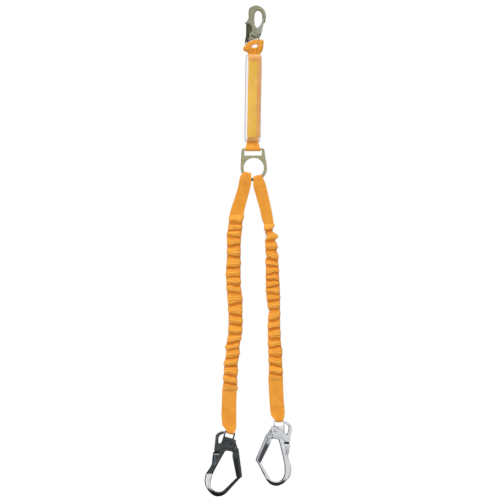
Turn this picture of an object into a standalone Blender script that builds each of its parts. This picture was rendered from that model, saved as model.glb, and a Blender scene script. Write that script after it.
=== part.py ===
"""Twin-leg shock absorbing lanyard: harness snap hook, webbing energy absorber
in a clear cover, pressed ring, and two elasticated webbing legs that each end
in a large scaffold hook with a self-closing, self-locking gate.

Metres, +Z up.  The assembly hangs in the XZ plane, its origin is the bearing
crown inside the harness snap hook.  Y is the thickness of the metal plates.
"""
import math
import random

import bmesh
import bpy
from mathutils import Matrix, Vector

for old in list(bpy.data.objects):
    bpy.data.objects.remove(old, do_unlink=True)

# ---------------------------------------------------------------- dimensions
MM = 0.001
GRID = 0.0032                   # layout module of the hanging assembly
COL0, ROW0 = 257.7, 10.7        # layout column and row of the origin
GAP = 0.0003                    # working clearance between neighbours

HARNESS_PLATE = 11.0            # mm, forged body of the harness snap hook
SCAFFOLD_PLATE = 12.0           # mm, forged body of a scaffold hook
SHEET = 1.8                     # mm, pressed gate and lever sheet
RING_PLATE = 5.0                # mm, pressed ring
WEBBING = 2.6                   # mm, one layer of sewn webbing
PACK_WIDTH = 37.0               # mm, folded tear webbing
PACK_LAYER = 4.6                # mm, one fold of the tear webbing
PACK_LAYERS = 4
COVER_WALL = 0.8                # mm, clear shrink cover
HARNESS_EYE = (-14.7, -102.3)   # mm, centre of the slanted eye bar
HARNESS_EYE_TILT = 20.4         # degrees
HARNESS_GATE_PIN = (3.5, -74.0)
HARNESS_LOCK_PIN = (-34.0, -94.5)
GATE_PIN = (-33.3, -53.4)       # mm, scaffold hook, from its eye bar
LOCK_PIN = (-12.8, -32.3)
RING_BAR = (253.2, 149.3)       # layout positions
RING_HOLE = (253.85, 168.0)
RING_HOLE_R = 10.15 * 3.2       # mm
RIGHT_EYE = (279.0, 420.2)
LEFT_EYE = (230.2, 432.0)
LEFT_HOOK_TILT = 15.5           # degrees, bottom of the hook towards -X

# ---------------------------------------------------------------- collections
parts = bpy.data.collections.new("shock_absorbing_lanyard")
cutters = bpy.data.collections.new("cutters")
bpy.context.scene.collection.children.link(parts)
bpy.context.scene.collection.children.link(cutters)


def material(name, colour, roughness, metallic=0.0, alpha=1.0):
    m = bpy.data.materials.new(name)
    m.use_nodes = True
    b = m.node_tree.nodes["Principled BSDF"]
    b.inputs["Base Color"].default_value = (*colour, 1.0)
    b.inputs["Roughness"].default_value = roughness
    b.inputs["Metallic"].default_value = metallic
    b.inputs["Alpha"].default_value = alpha
    m.diffuse_color = (*colour, alpha)
    return m


ZINC = ("zinc", (0.36, 0.36, 0.25), 0.42, 0.9)
ZINC_PALE = ("zinc_pale", (0.45, 0.46, 0.38), 0.38, 0.9)
ZINC_DARK = ("zinc_dark", (0.16, 0.17, 0.12), 0.5, 0.8)
BRIGHT = ("bright_alloy", (0.72, 0.74, 0.76), 0.16, 1.0)
DARK_ALLOY = ("dark_alloy", (0.12, 0.13, 0.14), 0.25, 1.0)
STEEL = ("spring_steel", (0.4, 0.4, 0.4), 0.3, 1.0)
ORANGE = ("orange_webbing", (0.86, 0.33, 0.04), 0.85, 0.0)
TEAR = ("tear_webbing", (0.90, 0.44, 0.10), 0.85, 0.0)
ELASTIC = ("elastic_core", (0.85, 0.83, 0.78), 0.8, 0.0)
GOLD = ("gold_label", (0.78, 0.50, 0.06), 0.5, 0.0)
CLEAR = ("clear_cover", (0.9, 0.9, 0.95), 0.08, 0.0, 0.25)


# ---------------------------------------------------------------- tools
def at(col, row):
    """Layout column and row to world X and Z in millimetres."""
    return ((col - COL0) * GRID / MM, (ROW0 - row) * GRID / MM)


def turn(p, degrees):
    a = math.radians(degrees)
    return (p[0] * math.cos(a) - p[1] * math.sin(a),
            p[0] * math.sin(a) + p[1] * math.cos(a))


def along(p, d, n, w, o):
    """Point w along d and o along n from p."""
    return (p[0] + d[0] * w + n[0] * o, p[1] + d[1] * w + n[1] * o)


def arc(c, r, a0, a1, steps):
    out = []
    for i in range(steps + 1):
        a = math.radians(a0 + (a1 - a0) * i / steps)
        out.append((c[0] + r * math.cos(a), c[1] + r * math.sin(a)))
    return out


def circle(c, r, steps=20):
    return arc(c, r, 0.0, 360.0 - 360.0 / steps, steps - 1)


def flow(points, steps=3):
    """Open Catmull-Rom run through the points."""
    p = [Vector(q) for q in points]
    p = [p[0] * 2 - p[1]] + p + [p[-1] * 2 - p[-2]]
    out = []
    for i in range(1, len(p) - 2):
        a, b, c, d = p[i - 1], p[i], p[i + 1], p[i + 2]
        for s in range(steps):
            t = s / steps
            v = 0.5 * ((2 * b) + (c - a) * t + (2 * a - 5 * b + 4 * c - d) * t * t
                       + (3 * b - a - 3 * c + d) * t ** 3)
            out.append((v.x, v.y))
    out.append((p[-2].x, p[-2].y))
    return out


def loop(points, steps=3):
    """Closed Catmull-Rom outline through the points."""
    p = [Vector(q) for q in points]
    n = len(p)
    out = []
    for i in range(n):
        a, b, c, d = p[i - 1], p[i], p[(i + 1) % n], p[(i + 2) % n]
        for s in range(steps):
            t = s / steps
            v = 0.5 * ((2 * b) + (c - a) * t + (2 * a - 5 * b + 4 * c - d) * t * t
                       + (3 * b - a - 3 * c + d) * t ** 3)
            out.append((v.x, v.y))
    return out


PLANES = {
    "XZ": Matrix(((1, 0, 0), (0, 0, -1), (0, 1, 0))).to_4x4(),
    "YZ": Matrix(((0, 0, 1), (1, 0, 0), (0, 1, 0))).to_4x4(),
}


def empty(name, x, z, tilt=0.0, parent=None):
    """tilt turns +X towards +Z, in degrees."""
    e = bpy.data.objects.new(name, None)
    e.location = (x * MM, 0.0, z * MM)
    e.rotation_euler = (0.0, -math.radians(tilt), 0.0)
    e.parent = parent
    parts.objects.link(e)
    return e


def keep(o, mat, cutter):
    if cutter:
        cutters.objects.link(o)
        o.hide_render = True
        o.display_type = "WIRE"
    else:
        parts.objects.link(o)
        if mat:
            o.data.materials.clear()
            o.data.materials.append(material(o.name, *mat[1:]))


def flat(name, outlines, half, mat=None, parent=None, origin=(0.0, 0.0), plane="XZ",
         cutter=False, shift=0.0, origin_y=0.0):
    """Filled outline (first) with holes (rest), extruded half each way."""
    cu = bpy.data.curves.new(name, "CURVE")
    cu.dimensions = "2D"
    cu.fill_mode = "BOTH"
    cu.extrude = half * MM
    for pts in outlines:
        s = cu.splines.new("POLY")
        s.points.add(len(pts) - 1)
        for q, (x, y) in zip(s.points, pts):
            q.co = (x * MM, y * MM, 0.0, 1.0)
        s.use_cyclic_u = True
    tmp = bpy.data.objects.new(name + "_curve", cu)
    parts.objects.link(tmp)
    dg = bpy.context.evaluated_depsgraph_get()
    me = bpy.data.meshes.new_from_object(tmp.evaluated_get(dg))
    bpy.data.objects.remove(tmp, do_unlink=True)
    bm = bmesh.new()
    bm.from_mesh(me)
    bmesh.ops.remove_doubles(bm, verts=bm.verts, dist=1e-7)
    bmesh.ops.transform(bm, matrix=PLANES[plane], verts=bm.verts)
    move = Vector((-origin[0] * MM, (shift - origin_y) * MM, -origin[1] * MM))
    if plane == "YZ":
        move = Vector(((shift - origin[0]) * MM, -origin_y * MM, -origin[1] * MM))
    bmesh.ops.translate(bm, vec=move, verts=bm.verts)
    bmesh.ops.recalc_face_normals(bm, faces=bm.faces)
    bm.to_mesh(me)
    bm.free()
    o = bpy.data.objects.new(name, me)
    o.location = (origin[0] * MM, origin_y * MM, origin[1] * MM)
    o.parent = parent
    keep(o, mat, cutter)
    me.shade_smooth()
    me.set_sharp_from_angle(angle=math.radians(35))
    return o


def cylinder(name, r, y0, y1, at_xz, mat=None, parent=None, cutter=False, steps=14):
    me = bpy.data.meshes.new(name)
    bm = bmesh.new()
    bmesh.ops.create_cone(bm, cap_ends=True, segments=steps, radius1=r * MM, radius2=r * MM,
                          depth=abs(y1 - y0) * MM)
    bmesh.ops.rotate(bm, verts=bm.verts, matrix=Matrix.Rotation(math.pi / 2, 3, "X"))
    bmesh.ops.translate(bm, verts=bm.verts, vec=(0, 0.5 * (y0 + y1) * MM, 0))
    bm.to_mesh(me)
    bm.free()
    o = bpy.data.objects.new(name, me)
    o.location = (at_xz[0] * MM, 0.0, at_xz[1] * MM)
    o.parent = parent
    keep(o, mat, cutter)
    me.shade_smooth()
    me.set_sharp_from_angle(angle=math.radians(35))
    return o


def stepped_bore(name, r, pocket_r, y_pocket, at_xz, parent):
    """Through bore with a wider pocket from the front face, one turned cutter."""
    me = bpy.data.meshes.new(name)
    bm = bmesh.new()
    prof = [(0.0, 20.0), (pocket_r, 20.0), (pocket_r, y_pocket), (r, y_pocket), (r, -20.0),
            (0.0, -20.0)]
    vs = [bm.verts.new((x * MM, 0.0, z * MM)) for x, z in prof]
    for a, b in zip(vs, vs[1:]):
        bm.edges.new((a, b))
    bm.to_mesh(me)
    bm.free()
    o = bpy.data.objects.new(name, me)
    o.location = (at_xz[0] * MM, 0.0, at_xz[1] * MM)
    o.rotation_euler = (math.pi / 2, 0.0, 0.0)
    o.parent = parent
    keep(o, None, True)
    s = o.modifiers.new("Screw", "SCREW")
    s.steps = 14
    s.render_steps = 14
    s.use_merge_vertices = True
    s.merge_threshold = 0.00002
    return o


def rivet(name, shaft, head, y_in, y_out, at_xz, mat, parent):
    """Turned rivet with two domed heads: a profile spun about Y."""
    me = bpy.data.meshes.new(name)
    bm = bmesh.new()
    prof = [(0.0, y_out), (head * 0.55, y_out), (head * 0.92, y_out - (y_out - y_in) * 0.4),
            (head, y_in), (shaft, y_in), (shaft, -y_in), (head, -y_in),
            (head * 0.92, -y_out + (y_out - y_in) * 0.4), (head * 0.55, -y_out), (0.0, -y_out)]
    vs = [bm.verts.new((r * MM, 0.0, h * MM)) for r, h in prof]
    for a, b in zip(vs, vs[1:]):
        bm.edges.new((a, b))
    bm.to_mesh(me)
    bm.free()
    o = bpy.data.objects.new(name, me)
    o.location = (at_xz[0] * MM, 0.0, at_xz[1] * MM)
    o.rotation_euler = (math.pi / 2, 0.0, 0.0)
    o.parent = parent
    keep(o, mat, False)
    s = o.modifiers.new("Screw", "SCREW")
    s.steps = 14
    s.render_steps = 14
    s.use_merge_vertices = True
    s.merge_threshold = 0.00002
    s.use_smooth_shade = True
    return o


def coil(name, r, wire, turns, y0, y1, at_xz, mat, parent, leg=3.0, start=0.0, hand=1):
    """Torsion spring on the Y axis with two short tangent legs."""
    cu = bpy.data.curves.new(name, "CURVE")
    cu.dimensions = "3D"
    cu.bevel_depth = wire * 0.5 * MM
    cu.bevel_resolution = 1
    cu.use_fill_caps = True
    n = int(14 * turns)
    pts = []
    for i in range(n + 1):
        a = math.radians(start) + hand * 2 * math.pi * turns * i / n
        y = y0 + (y1 - y0) * i / n
        pts.append(Vector((r * math.cos(a), y, r * math.sin(a))))
    s = cu.splines.new("POLY")
    s.points.add(len(pts) - 1)
    for q, p in zip(s.points, pts):
        q.co = (p.x * MM, p.y * MM, p.z * MM, 1.0)
    o = bpy.data.objects.new(name, cu)
    o.location = (at_xz[0] * MM, 0.0, at_xz[1] * MM)
    o.parent = parent
    parts.objects.link(o)
    cu.materials.append(material(name, *mat[1:]))
    return o


def cut(o, tool, operation="DIFFERENCE"):
    m = o.modifiers.new(tool.name, "BOOLEAN")
    m.object = tool
    m.operation = operation
    m.solver = "EXACT"


def round_edges(o, width, segments=2, angle=50):
    m = o.modifiers.new("Bevel", "BEVEL")
    m.width = width * MM
    m.segments = segments
    m.limit_method = "ANGLE"
    m.angle_limit = math.radians(angle)
    m.harden_normals = False


def loft(name, rings, mat, origin, wall=None, inner=None):
    """Rings are lists of points, joined in order; unlike sections.
    With inner, the second set of rings lines the bore and both ends close."""
    me = bpy.data.meshes.new(name)
    bm = bmesh.new()
    ox, oz = origin

    def lay(rs):
        return [[bm.verts.new(((x - ox) * MM, y * MM, (z - oz) * MM)) for x, y, z in r]
                for r in rs]

    def skin(rs, flip):
        for a, b in zip(rs, rs[1:]):
            n = len(a)
            for i in range(n):
                f = [a[i], a[(i + 1) % n], b[(i + 1) % n], b[i]]
                bm.faces.new(f[::-1] if flip else f)

    outer = lay(rings)
    skin(outer, False)
    if inner:
        bore = lay(inner)
        skin(bore, True)
        for a, b in ((outer[0], bore[0]), (outer[-1], bore[-1])):
            n = len(a)
            for i in range(n):
                bm.faces.new([a[i], a[(i + 1) % n], b[(i + 1) % n], b[i]])
    elif wall is None:
        bm.faces.new(outer[0])
        bm.faces.new(outer[-1][::-1])
    bmesh.ops.recalc_face_normals(bm, faces=bm.faces)
    bm.to_mesh(me)
    bm.free()
    o = bpy.data.objects.new(name, me)
    o.location = (ox * MM, 0.0, oz * MM)
    keep(o, mat, False)
    me.shade_smooth()
    me.set_sharp_from_angle(angle=math.radians(60))
    if wall is not None:
        s = o.modifiers.new("Solidify", "SOLIDIFY")
        s.thickness = wall * MM
        s.offset = -1.0
    return o


def oblong(cx, z, hw, hd, n, power=3.2, skew=0.0):
    """Rounded oblong section in the XY plane, counter-clockwise from above."""
    out = []
    for i in range(n):
        a = 2 * math.pi * (i + 0.5) / n
        c, s = math.cos(a), math.sin(a)
        k = (abs(c) ** power + abs(s) ** power) ** (-1.0 / power)
        x = hw * c * k
        out.append((cx + x, hd * s * k, z + skew * x))
    return out


# ---------------------------------------------------------------- harness snap hook
harness = empty("harness_hook_frame", 0.0, 0.0)
H = HARNESS_PLATE / 2
EU = turn((1.0, 0.0), HARNESS_EYE_TILT)      # along the eye bar
EV = turn((0.0, 1.0), HARNESS_EYE_TILT)      # square to it, upwards


def eye(u, v):
    return along(HARNESS_EYE, EU, EV, u, v)


body_outline = (
    flow([(18.3, -36.6), (21.5, -38.6), (24.0, -35.8), (25.6, -27.0), (26.3, -15.4),
          (21.6, 0.4), (9.5, 12.0), (-3.8, 16.3), (-17.5, 13.2), (-27.2, 4.6),
          (-29.2, -9.0), (-28.8, -23.0), (-33.0, -32.5), (-40.0, -39.2)], 3)
    + [(-39.8, -41.8), (-37.2, -43.2), (-29.0, -44.4), (-28.2, -70.0), (-28.8, -84.0)]
    + arc(HARNESS_LOCK_PIN, 6.6, 95, 190, 6)
    + [(-41.0, -100.0)]
    + flow([eye(-25.2, 8.0), eye(-25.0, 2.0), eye(-22.6, -2.2), eye(-18.0, -2.8)], 3)
    + flow([eye(16.5, -2.8), eye(21.0, -2.2), eye(23.2, 1.0), eye(23.4, 8.0)], 3)
    + [(6.6, -85.4)]
    + arc(HARNESS_GATE_PIN, 7.6, -68, 62, 8)
    + flow([(2.0, -61.0), (-1.5, -56.6), (-6.0, -52.0), (-9.4, -45.0), (-10.5, -34.9),
            (-10.3, -20.0), (-8.6, -9.0), (-3.5, 0.0)], 3)
    + flow([(3.5, 0.0), (9.0, -3.4), (12.8, -9.5), (14.4, -16.0), (14.8, -21.4)], 3)
    + [(16.9, -23.0), (17.4, -29.0)]
)
harness_body = flat("harness_hook_body", [body_outline], H, ZINC, harness)
round_edges(harness_body, 1.6, 1)

eye_slot = flat("harness_eye_slot", [
    [eye(-21.0, 2.8), eye(-21.0, 7.6), eye(-19.6, 9.2), eye(17.0, 9.2), eye(18.4, 7.6),
     eye(18.4, 2.8)]], 12, parent=harness, cutter=True)
cut(harness_body, eye_slot)
for side in (-1, 1):
    waist = flat("harness_eye_waist_%s" % ("front" if side < 0 else "back"), [
        [eye(-34.0, -9.0), eye(-34.0, 7.0), eye(-26.0, 11.5), eye(27.0, 11.5), eye(27.0, -9.0)]],
        3.0, parent=harness, cutter=True, shift=side * (2.8 + 3.0))
    cut(harness_body, waist)
for pin, label in ((HARNESS_GATE_PIN, "gate"), (HARNESS_LOCK_PIN, "lock")):
    cut(harness_body, stepped_bore("harness_%s_bore" % label, 2.5, 5.2, 2.8, pin, harness))

# gate: two cheeks over the nose and the pin, joined by a web on the inner side
gate_outline = (
    flow([(14.6, -23.6), (14.4, -31.0), (12.6, -39.0), (8.6, -46.8), (1.0, -54.4),
          (-4.2, -62.0), (-5.4, -72.0), (-3.0, -79.4), (3.5, -82.4), (8.6, -80.8),
          (12.2, -71.0), (15.2, -58.0), (17.8, -45.0), (19.6, -38.0), (20.4, -31.0),
          (19.4, -23.6)], 3)
)
harness_gate = flat("harness_gate", [gate_outline], H + GAP / MM + SHEET, ZINC_PALE, harness,
                    origin=HARNESS_GATE_PIN)
round_edges(harness_gate, 0.6, 1)
gate_room = flat("harness_gate_room", [
    [(16.4, -10.0), (16.4, -31.5), (14.6, -39.6), (10.6, -47.0), (7.0, -50.6),
     (-2.0, -45.0), (-14.0, -58.0), (-12.0, -95.0), (30.0, -95.0), (34.0, -10.0)]],
    H + GAP / MM, parent=harness, cutter=True)
cut(harness_gate, gate_room)
cut(harness_gate, cylinder("harness_gate_pin_hole", 2.5, -20, 20, HARNESS_GATE_PIN,
                           parent=harness, cutter=True))

# lock lever: finger pad down the spine, cheeks over the pin
lock_outline = (
    flow([(-24.6, -44.8), (-20.2, -50.0), (-18.6, -58.0), (-19.6, -66.0), (-25.0, -71.0),
          (-29.2, -76.0), (-29.4, -86.0)], 2)
    + arc(HARNESS_LOCK_PIN, 5.6, 30, -205, 12)
    + [(-38.4, -87.0), (-37.4, -80.0), (-37.2, -48.0), (-36.2, -45.2)]
)
harness_lock = flat("harness_lock_lever", [lock_outline],
                    H + GAP / MM + SHEET, ZINC_DARK, harness, origin=HARNESS_LOCK_PIN)
for face in (-1, 1):
    grip = loop([(-33.4, -50.4), (-25.4, -49.8), (-22.6, -54.0), (-22.8, -62.0), (-27.6, -66.0),
                 (-33.4, -64.6)], 2)
    cut(harness_lock, flat("harness_grip_%s" % ("front" if face < 0 else "back"), [grip], 1.0,
                           parent=harness, cutter=True,
                           shift=face * (H + GAP / MM + SHEET - 0.8 + 1.0)))
lock_room = flat("harness_lock_room", [
    [(-35.4, -38.0), (-35.4, -87.6), (-46.0, -90.0), (-46.0, -110.0), (-10.0, -110.0),
     (-10.0, -38.0)]], H + GAP / MM, parent=harness, cutter=True)
cut(harness_lock, lock_room)
cut(harness_lock, cylinder("harness_lock_pin_hole", 2.5, -20, 20, HARNESS_LOCK_PIN,
                           parent=harness, cutter=True))
for pin, label, start in ((HARNESS_GATE_PIN, "gate", 200.0), (HARNESS_LOCK_PIN, "lock", 20.0)):
    rivet("harness_%s_rivet" % label, 2.15, 4.2, H + SHEET + 2 * GAP / MM, H + SHEET + 2.0, pin,
          ZINC_DARK, harness)
    coil("harness_%s_spring" % label, 3.6, 0.9, 1.6, -5.0, -3.4, pin, STEEL, harness, start=start)

# ---------------------------------------------------------------- top webbing loop
eye_frame = empty("harness_eye_frame", *HARNESS_EYE, tilt=HARNESS_EYE_TILT, parent=harness)


def bight(bore, layer, straight, close, end, slab):
    """Section of a sewn loop round a bar at the origin, tail running to +v = end."""
    out = arc((0, 0), bore + layer, 180, 360, 12)
    out += [(bore + layer, straight), (slab, close), (slab, end), (-slab, end), (-slab, close),
            (-bore - layer, straight)]
    hole = arc((0, 0), bore, 180, 360, 10)
    hole += [(bore, straight - 0.5), (0.0, straight + (close - straight) * 0.62),
             (-bore, straight - 0.5)]
    return out, hole


def mirrored(pts):
    return [(x, -y) for x, y in pts][::-1]


outer, hole = bight(4.1, 2.4, 3.0, 26.0, 80.0, 2.8)
top_loop = flat("top_webbing_loop", [mirrored(outer), mirrored(hole)], 50, ORANGE, eye_frame,
                plane="YZ")
top_shape = (
    [eye(-20.5, 9.0), eye(-20.5, -2.2), eye(-24.5, -2.6)]
    + flow([(-38.6, -113.0), (-44.4, -116.4), (-46.7, -122.4), (-44.6, -127.2), (-38.5, -129.0),
            (-34.2, -130.0), (-32.4, -134.0), (-30.6, -139.0)], 3)
    + [(-29.6, -155.0), (6.2, -155.0)]
    + flow([(7.4, -139.4), (12.0, -132.6), (15.2, -124.0), (16.8, -112.0), (18.0, -104.0),
            (20.2, -97.0), (19.6, -91.8), (15.4, -89.6), (11.0, -91.6)], 3)
    + [eye(25.6, -2.4), eye(17.9, -2.2), eye(17.9, 9.0)]
)
see_through = [(-10.0 + 9.4 * math.cos(a) + 1.0 * math.sin(a), -114.6 + 4.8 * math.sin(a))
               for a in (2 * math.pi * i / 18 for i in range(18))]
top_prism = flat("top_loop_shape", [top_shape, see_through], 30, parent=harness, cutter=True)
cut(top_loop, top_prism, "INTERSECT")

# ---------------------------------------------------------------- energy absorber
PACK_TOP, PACK_END = at(0, 61.4)[1], at(0, 137.0)[1]
pack_x = at(253.3, 0)[0]
PACK_FRAME = empty("absorber_frame", pack_x, 0.0)
total = PACK_LAYERS * PACK_LAYER + (PACK_LAYERS - 1) * 0.5
layers = []
for k in range(PACK_LAYERS):
    y0 = -total / 2 + k * (PACK_LAYER + 0.5)
    layers.append((y0, y0 + PACK_LAYER))
# serpentine outline of the folded webbing, walked down one side and back up the other
serp = [(layers[0][0], PACK_END + 2.5), (layers[0][0], PACK_TOP - 2.5), (layers[0][0] + 2.0, PACK_TOP)]
serp += [(layers[1][1] - 2.0, PACK_TOP), (layers[1][1], PACK_TOP - 2.5),
         (layers[1][1], PACK_END + PACK_LAYER), (layers[2][0], PACK_END + PACK_LAYER),
         (layers[2][0], PACK_TOP - 2.5), (layers[2][0] + 2.0, PACK_TOP),
         (layers[3][1] - 2.0, PACK_TOP), (layers[3][1], PACK_TOP - 2.5),
         (layers[3][1], PACK_END + 1.0), (layers[3][1] - 1.0, PACK_END),
         (layers[3][0] + 1.0, PACK_END), (layers[3][0], PACK_END + 1.0),
         (layers[3][0], PACK_TOP - PACK_LAYER), (layers[2][1], PACK_TOP - PACK_LAYER),
         (layers[2][1], PACK_END + 2.5), (layers[2][1] - 2.0, PACK_END),
         (layers[1][0] + 2.0, PACK_END), (layers[1][0], PACK_END + 2.5),
         (layers[1][0], PACK_TOP - PACK_LAYER), (layers[0][1], PACK_TOP - PACK_LAYER),
         (layers[0][1], PACK_END + 1.0), (layers[0][1] - 1.0, PACK_END),
         (layers[0][0] + 1.0, PACK_END)]
pack = flat("tear_webbing_pack", [serp], PACK_WIDTH / 2, TEAR, PACK_FRAME, plane="YZ",
            origin=(0.0, (PACK_TOP + PACK_END) / 2))
label_pts = []
for cx, cz, a in ((at(256.3, 0)[0], at(0, 62.0)[1], 0), (at(249.0, 0)[0], at(0, 62.0)[1], 90),
                  (at(248.4, 0)[0], at(0, 137.2)[1], 180), (at(255.7, 0)[0], at(0, 137.2)[1], 270)):
    label_pts += arc((cx, cz), 1.8, a, a + 90, 4)
label = flat("gold_label", [label_pts], 0.25, GOLD, None, origin=at(252.35, 99.6),
             shift=-(total / 2 + 0.65))

cover_rings = []
for row, half_w, half_d in ((54.8, 23.2, 6.0), (55.6, 24.4, 8.6), (57.2, 25.8, 12.8),
                            (60.0, 26.4, 14.2), (98.0, 26.3, 15.0),
                            (136.6, 26.2, 14.2), (139.4, 25.6, 13.0),
                            (141.2, 24.2, 8.8), (142.3, 23.0, 6.0)):
    mid = 253.75 - 1.3 * (row - 57.0) / 83.0
    x, z = at(mid, row)
    cover_rings.append(oblong(x, z, half_w, half_d, 16, 3.6))
cover = loft("clear_cover", cover_rings[::-1], CLEAR, at(253.1, 98.5), wall=COVER_WALL)

# lower neck: sewn loop from the cover down round the slot bar of the ring
neck_frame = empty("ring_bar_frame", *at(*RING_BAR))
outer, hole = bight(4.2, WEBBING, 3.0, 17.0, (RING_BAR[1] - 139.3) * 3.2, 2.8)
neck = flat("neck_webbing_loop", [outer, hole], 40, ORANGE, neck_frame, plane="YZ")
bx, bz = at(*RING_BAR)
neck_shape = ([at(244.75, 153.5), at(244.75, 149.0)]
              + flow([at(244.9, 147.8), at(245.7, 145.8), at(246.4, 143.6), at(246.8, 141.6),
                      at(246.9, 138.0)], 2)
              + flow([at(258.2, 138.0), at(258.3, 141.6), at(258.9, 143.6), at(259.8, 145.6),
                      at(261.0, 147.8)], 2)
              + [at(261.2, 149.0), at(261.2, 153.5)])
neck_prism = flat("neck_shape", [neck_shape], 30, cutter=True)
cut(neck, neck_prism, "INTERSECT")

# ---------------------------------------------------------------- ring
ring_outline = (
    flow([at(243.0, 148.3), at(242.0, 149.4), at(241.5, 152.0), at(241.2, 156.0),
          at(240.8, 163.0), at(240.65, 168.5)], 2)[:-1]
    + arc(at(*RING_HOLE), 13.2 * 3.2, 182, 352, 22)
    + flow([at(267.1, 168.4), at(266.6, 163.6), at(265.6, 158.6), at(264.9, 153.0),
            at(264.3, 149.8), at(263.3, 148.3)], 2)
)
slot_outline = []
for cx, cz, a in ((at(261.4, 0)[0], at(0, 150.64)[1], 0), (at(244.8, 0)[0], at(0, 150.64)[1], 90),
                  (at(244.8, 0)[0], at(0, 155.1)[1], 180), (at(261.4, 0)[0], at(0, 155.1)[1], 270)):
    slot_outline += arc((cx, cz), 1.4, a, a + 90, 4)
bar_top = bz + 2.75
ring_outline = [(x, min(z, bar_top)) for x, z in ring_outline]
ring = flat("leg_ring", [ring_outline, slot_outline, circle(at(*RING_HOLE), RING_HOLE_R, 40)],
            RING_PLATE / 2, ZINC, None, origin=at(*RING_BAR))

# ---------------------------------------------------------------- legs
legs = {
    "left": dict(bight=(248.1, 172.9), lean=-11.0, rows=(215.0, 390.0),
                 top=(236.4, 215.0), low=(229.6, 390.0), pleats=18, seed=3,
                 upper=[(245.6, 169.6), (245.5, 172.9), (240.6, 175.0), (239.3, 180.0),
                        (236.2, 190.0), (233.2, 200.0), (231.2, 208.0), (229.2, 215.0),
                        (243.6, 215.0), (245.8, 208.0), (247.9, 200.0), (249.9, 190.0),
                        (250.4, 184.0), (250.8, 178.0), (250.8, 170.0)],
                 lower=[(222.2, 390.0), (222.0, 400.0), (221.4, 414.0), (221.6, 424.0)],
                 lower2=[(236.0, 424.0), (236.2, 412.0), (236.4, 400.0), (237.0, 390.0)]),
    "right": dict(bight=(257.6, 175.7), lean=11.8, rows=(224.4, 379.5),
                  top=(267.6, 224.4), low=(275.4, 379.5), pleats=16, seed=8,
                  upper=[(254.8, 172.0), (254.75, 177.0), (253.6, 181.0), (253.2, 186.0),
                         (254.4, 192.0), (256.4, 200.0), (258.4, 208.0), (260.6, 216.0),
                         (262.0, 224.4), (274.4, 224.4), (273.2, 218.0), (271.4, 208.0),
                         (269.6, 200.0), (268.0, 192.0), (265.8, 184.0), (264.0, 179.4),
                         (262.2, 176.6), (260.4, 175.6), (260.4, 172.0)],
                  lower=[(268.2, 379.5), (268.8, 390.0), (269.4, 402.0), (270.4, 413.5)],
                  lower2=[(285.0, 413.5), (283.8, 402.0), (283.2, 390.0), (283.0, 379.5)]),
}
tail = 0.3
for side, leg in legs.items():
    # upper end: loop through the ring hole, straddling the rim
    pivot = at(*RING_HOLE)
    bxz = at(*leg["bight"])
    fr = empty(side + "_bight_frame", *bxz, tilt=leg["lean"])
    sec = arc((0, -3.2), 3.2 + 2.4, 0, 180, 12)
    sec += [(-5.6, -25.0), (-2.8, -42.0), (-2.8, -170.0), (2.8, -170.0), (2.8, -42.0), (5.6, -25.0)]
    bore = arc((0, -3.2), 3.2, 0, 180, 10) + [(-3.2, -26.5), (0.0, -36.0), (3.2, -26.5)]
    upper = flat(side + "_upper_webbing", [sec, bore], 60, ORANGE, fr, plane="YZ")
    shape = [at(c, r) for c, r in leg["upper"]]
    prism = flat(side + "_upper_shape", [shape], 30, cutter=True)
    cut(upper, prism, "INTERSECT")

    # lower end: sewn loop round the eye bar of the scaffold hook
    mirror = -1 if side == "left" else 1
    tilt = -LEFT_HOOK_TILT if side == "left" else 0.0
    ex, ez = at(*(LEFT_EYE if side == "left" else RIGHT_EYE))
    hook = empty(side + "_hook_frame", ex, ez, tilt=tilt)
    leg["frame"], leg["mirror"] = hook, mirror
    outer, hole = bight(4.4, 3.0, 4.0, 24.0, 160.0, 2.9)
    lower = flat(side + "_lower_webbing", [outer, hole], 70, ORANGE, hook, plane="YZ")

    def near_eye(x, z):
        p = turn((x, z), tilt)
        return (ex + p[0], ez + p[1])

    left_pts = [at(c, r) for c, r in leg["lower"]]
    right_pts = [at(c, r) for c, r in leg["lower2"]]
    shape = (left_pts + [near_eye(-14.0, 7.6), near_eye(-11.0, 4.6), near_eye(-11.0, -9.0),
                         near_eye(11.0, -9.0), near_eye(11.0, 4.6), near_eye(14.0, 7.6)]
             + right_pts)
    shape = [(x, z - (tail if abs(z - left_pts[0][1]) < 1e-6 else 0.0)) for x, z in shape]
    prism = flat(side + "_lower_shape", [shape], 30, cutter=True)
    cut(lower, prism, "INTERSECT")

    # gathered sleeve and the elastic core inside it
    rng = random.Random(leg["seed"])
    (tx, tz), (lx, lz) = at(*leg["top"]), at(*leg["low"])
    tz -= tail
    lz += tail
    rings, bore_rings = [], []
    n = leg["pleats"]
    for i in range(n):
        jitter = rng.uniform(-1.2, 1.2)
        tiltz = rng.uniform(-0.09, 0.09)
        for part, (grow, deep) in ((0.0, (0.0, 0.0)), (0.35, (1.0, 1.0)), (0.72, (0.75, 0.9))):
            if i == 0 and part == 0.0:
                tiltz = 0.0
            t = (i + part) / n
            cx = tx + (lx - tx) * t + (jitter if part else 0.0)
            z = tz + (lz - tz) * t
            rings.append(oblong(cx, z, 19.4 + 2.0 * grow, 8.6 + 3.0 * deep, 12, 2.6,
                                tiltz if part else 0.0))
    rings.append(oblong(lx, lz, 19.4, 8.6, 12, 2.6))
    for t in (0.0, 0.5, 1.0):
        bore_rings.append(oblong(tx + (lx - tx) * t, tz + (lz - tz) * t, 15.6, 5.6, 12, 2.6))
    loft(side + "_gathered_sleeve", rings, ORANGE, (tx, tz), inner=bore_rings)
    core = [oblong(tx + (lx - tx) * t, tz - 0.3 + (lz + 0.3 - tz + 0.3) * t, 13.0, 2.6, 12, 4.0)
            for t in (0.0, 1.0)]
    loft(side + "_elastic_core", core, ELASTIC, (tx, tz))

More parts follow.
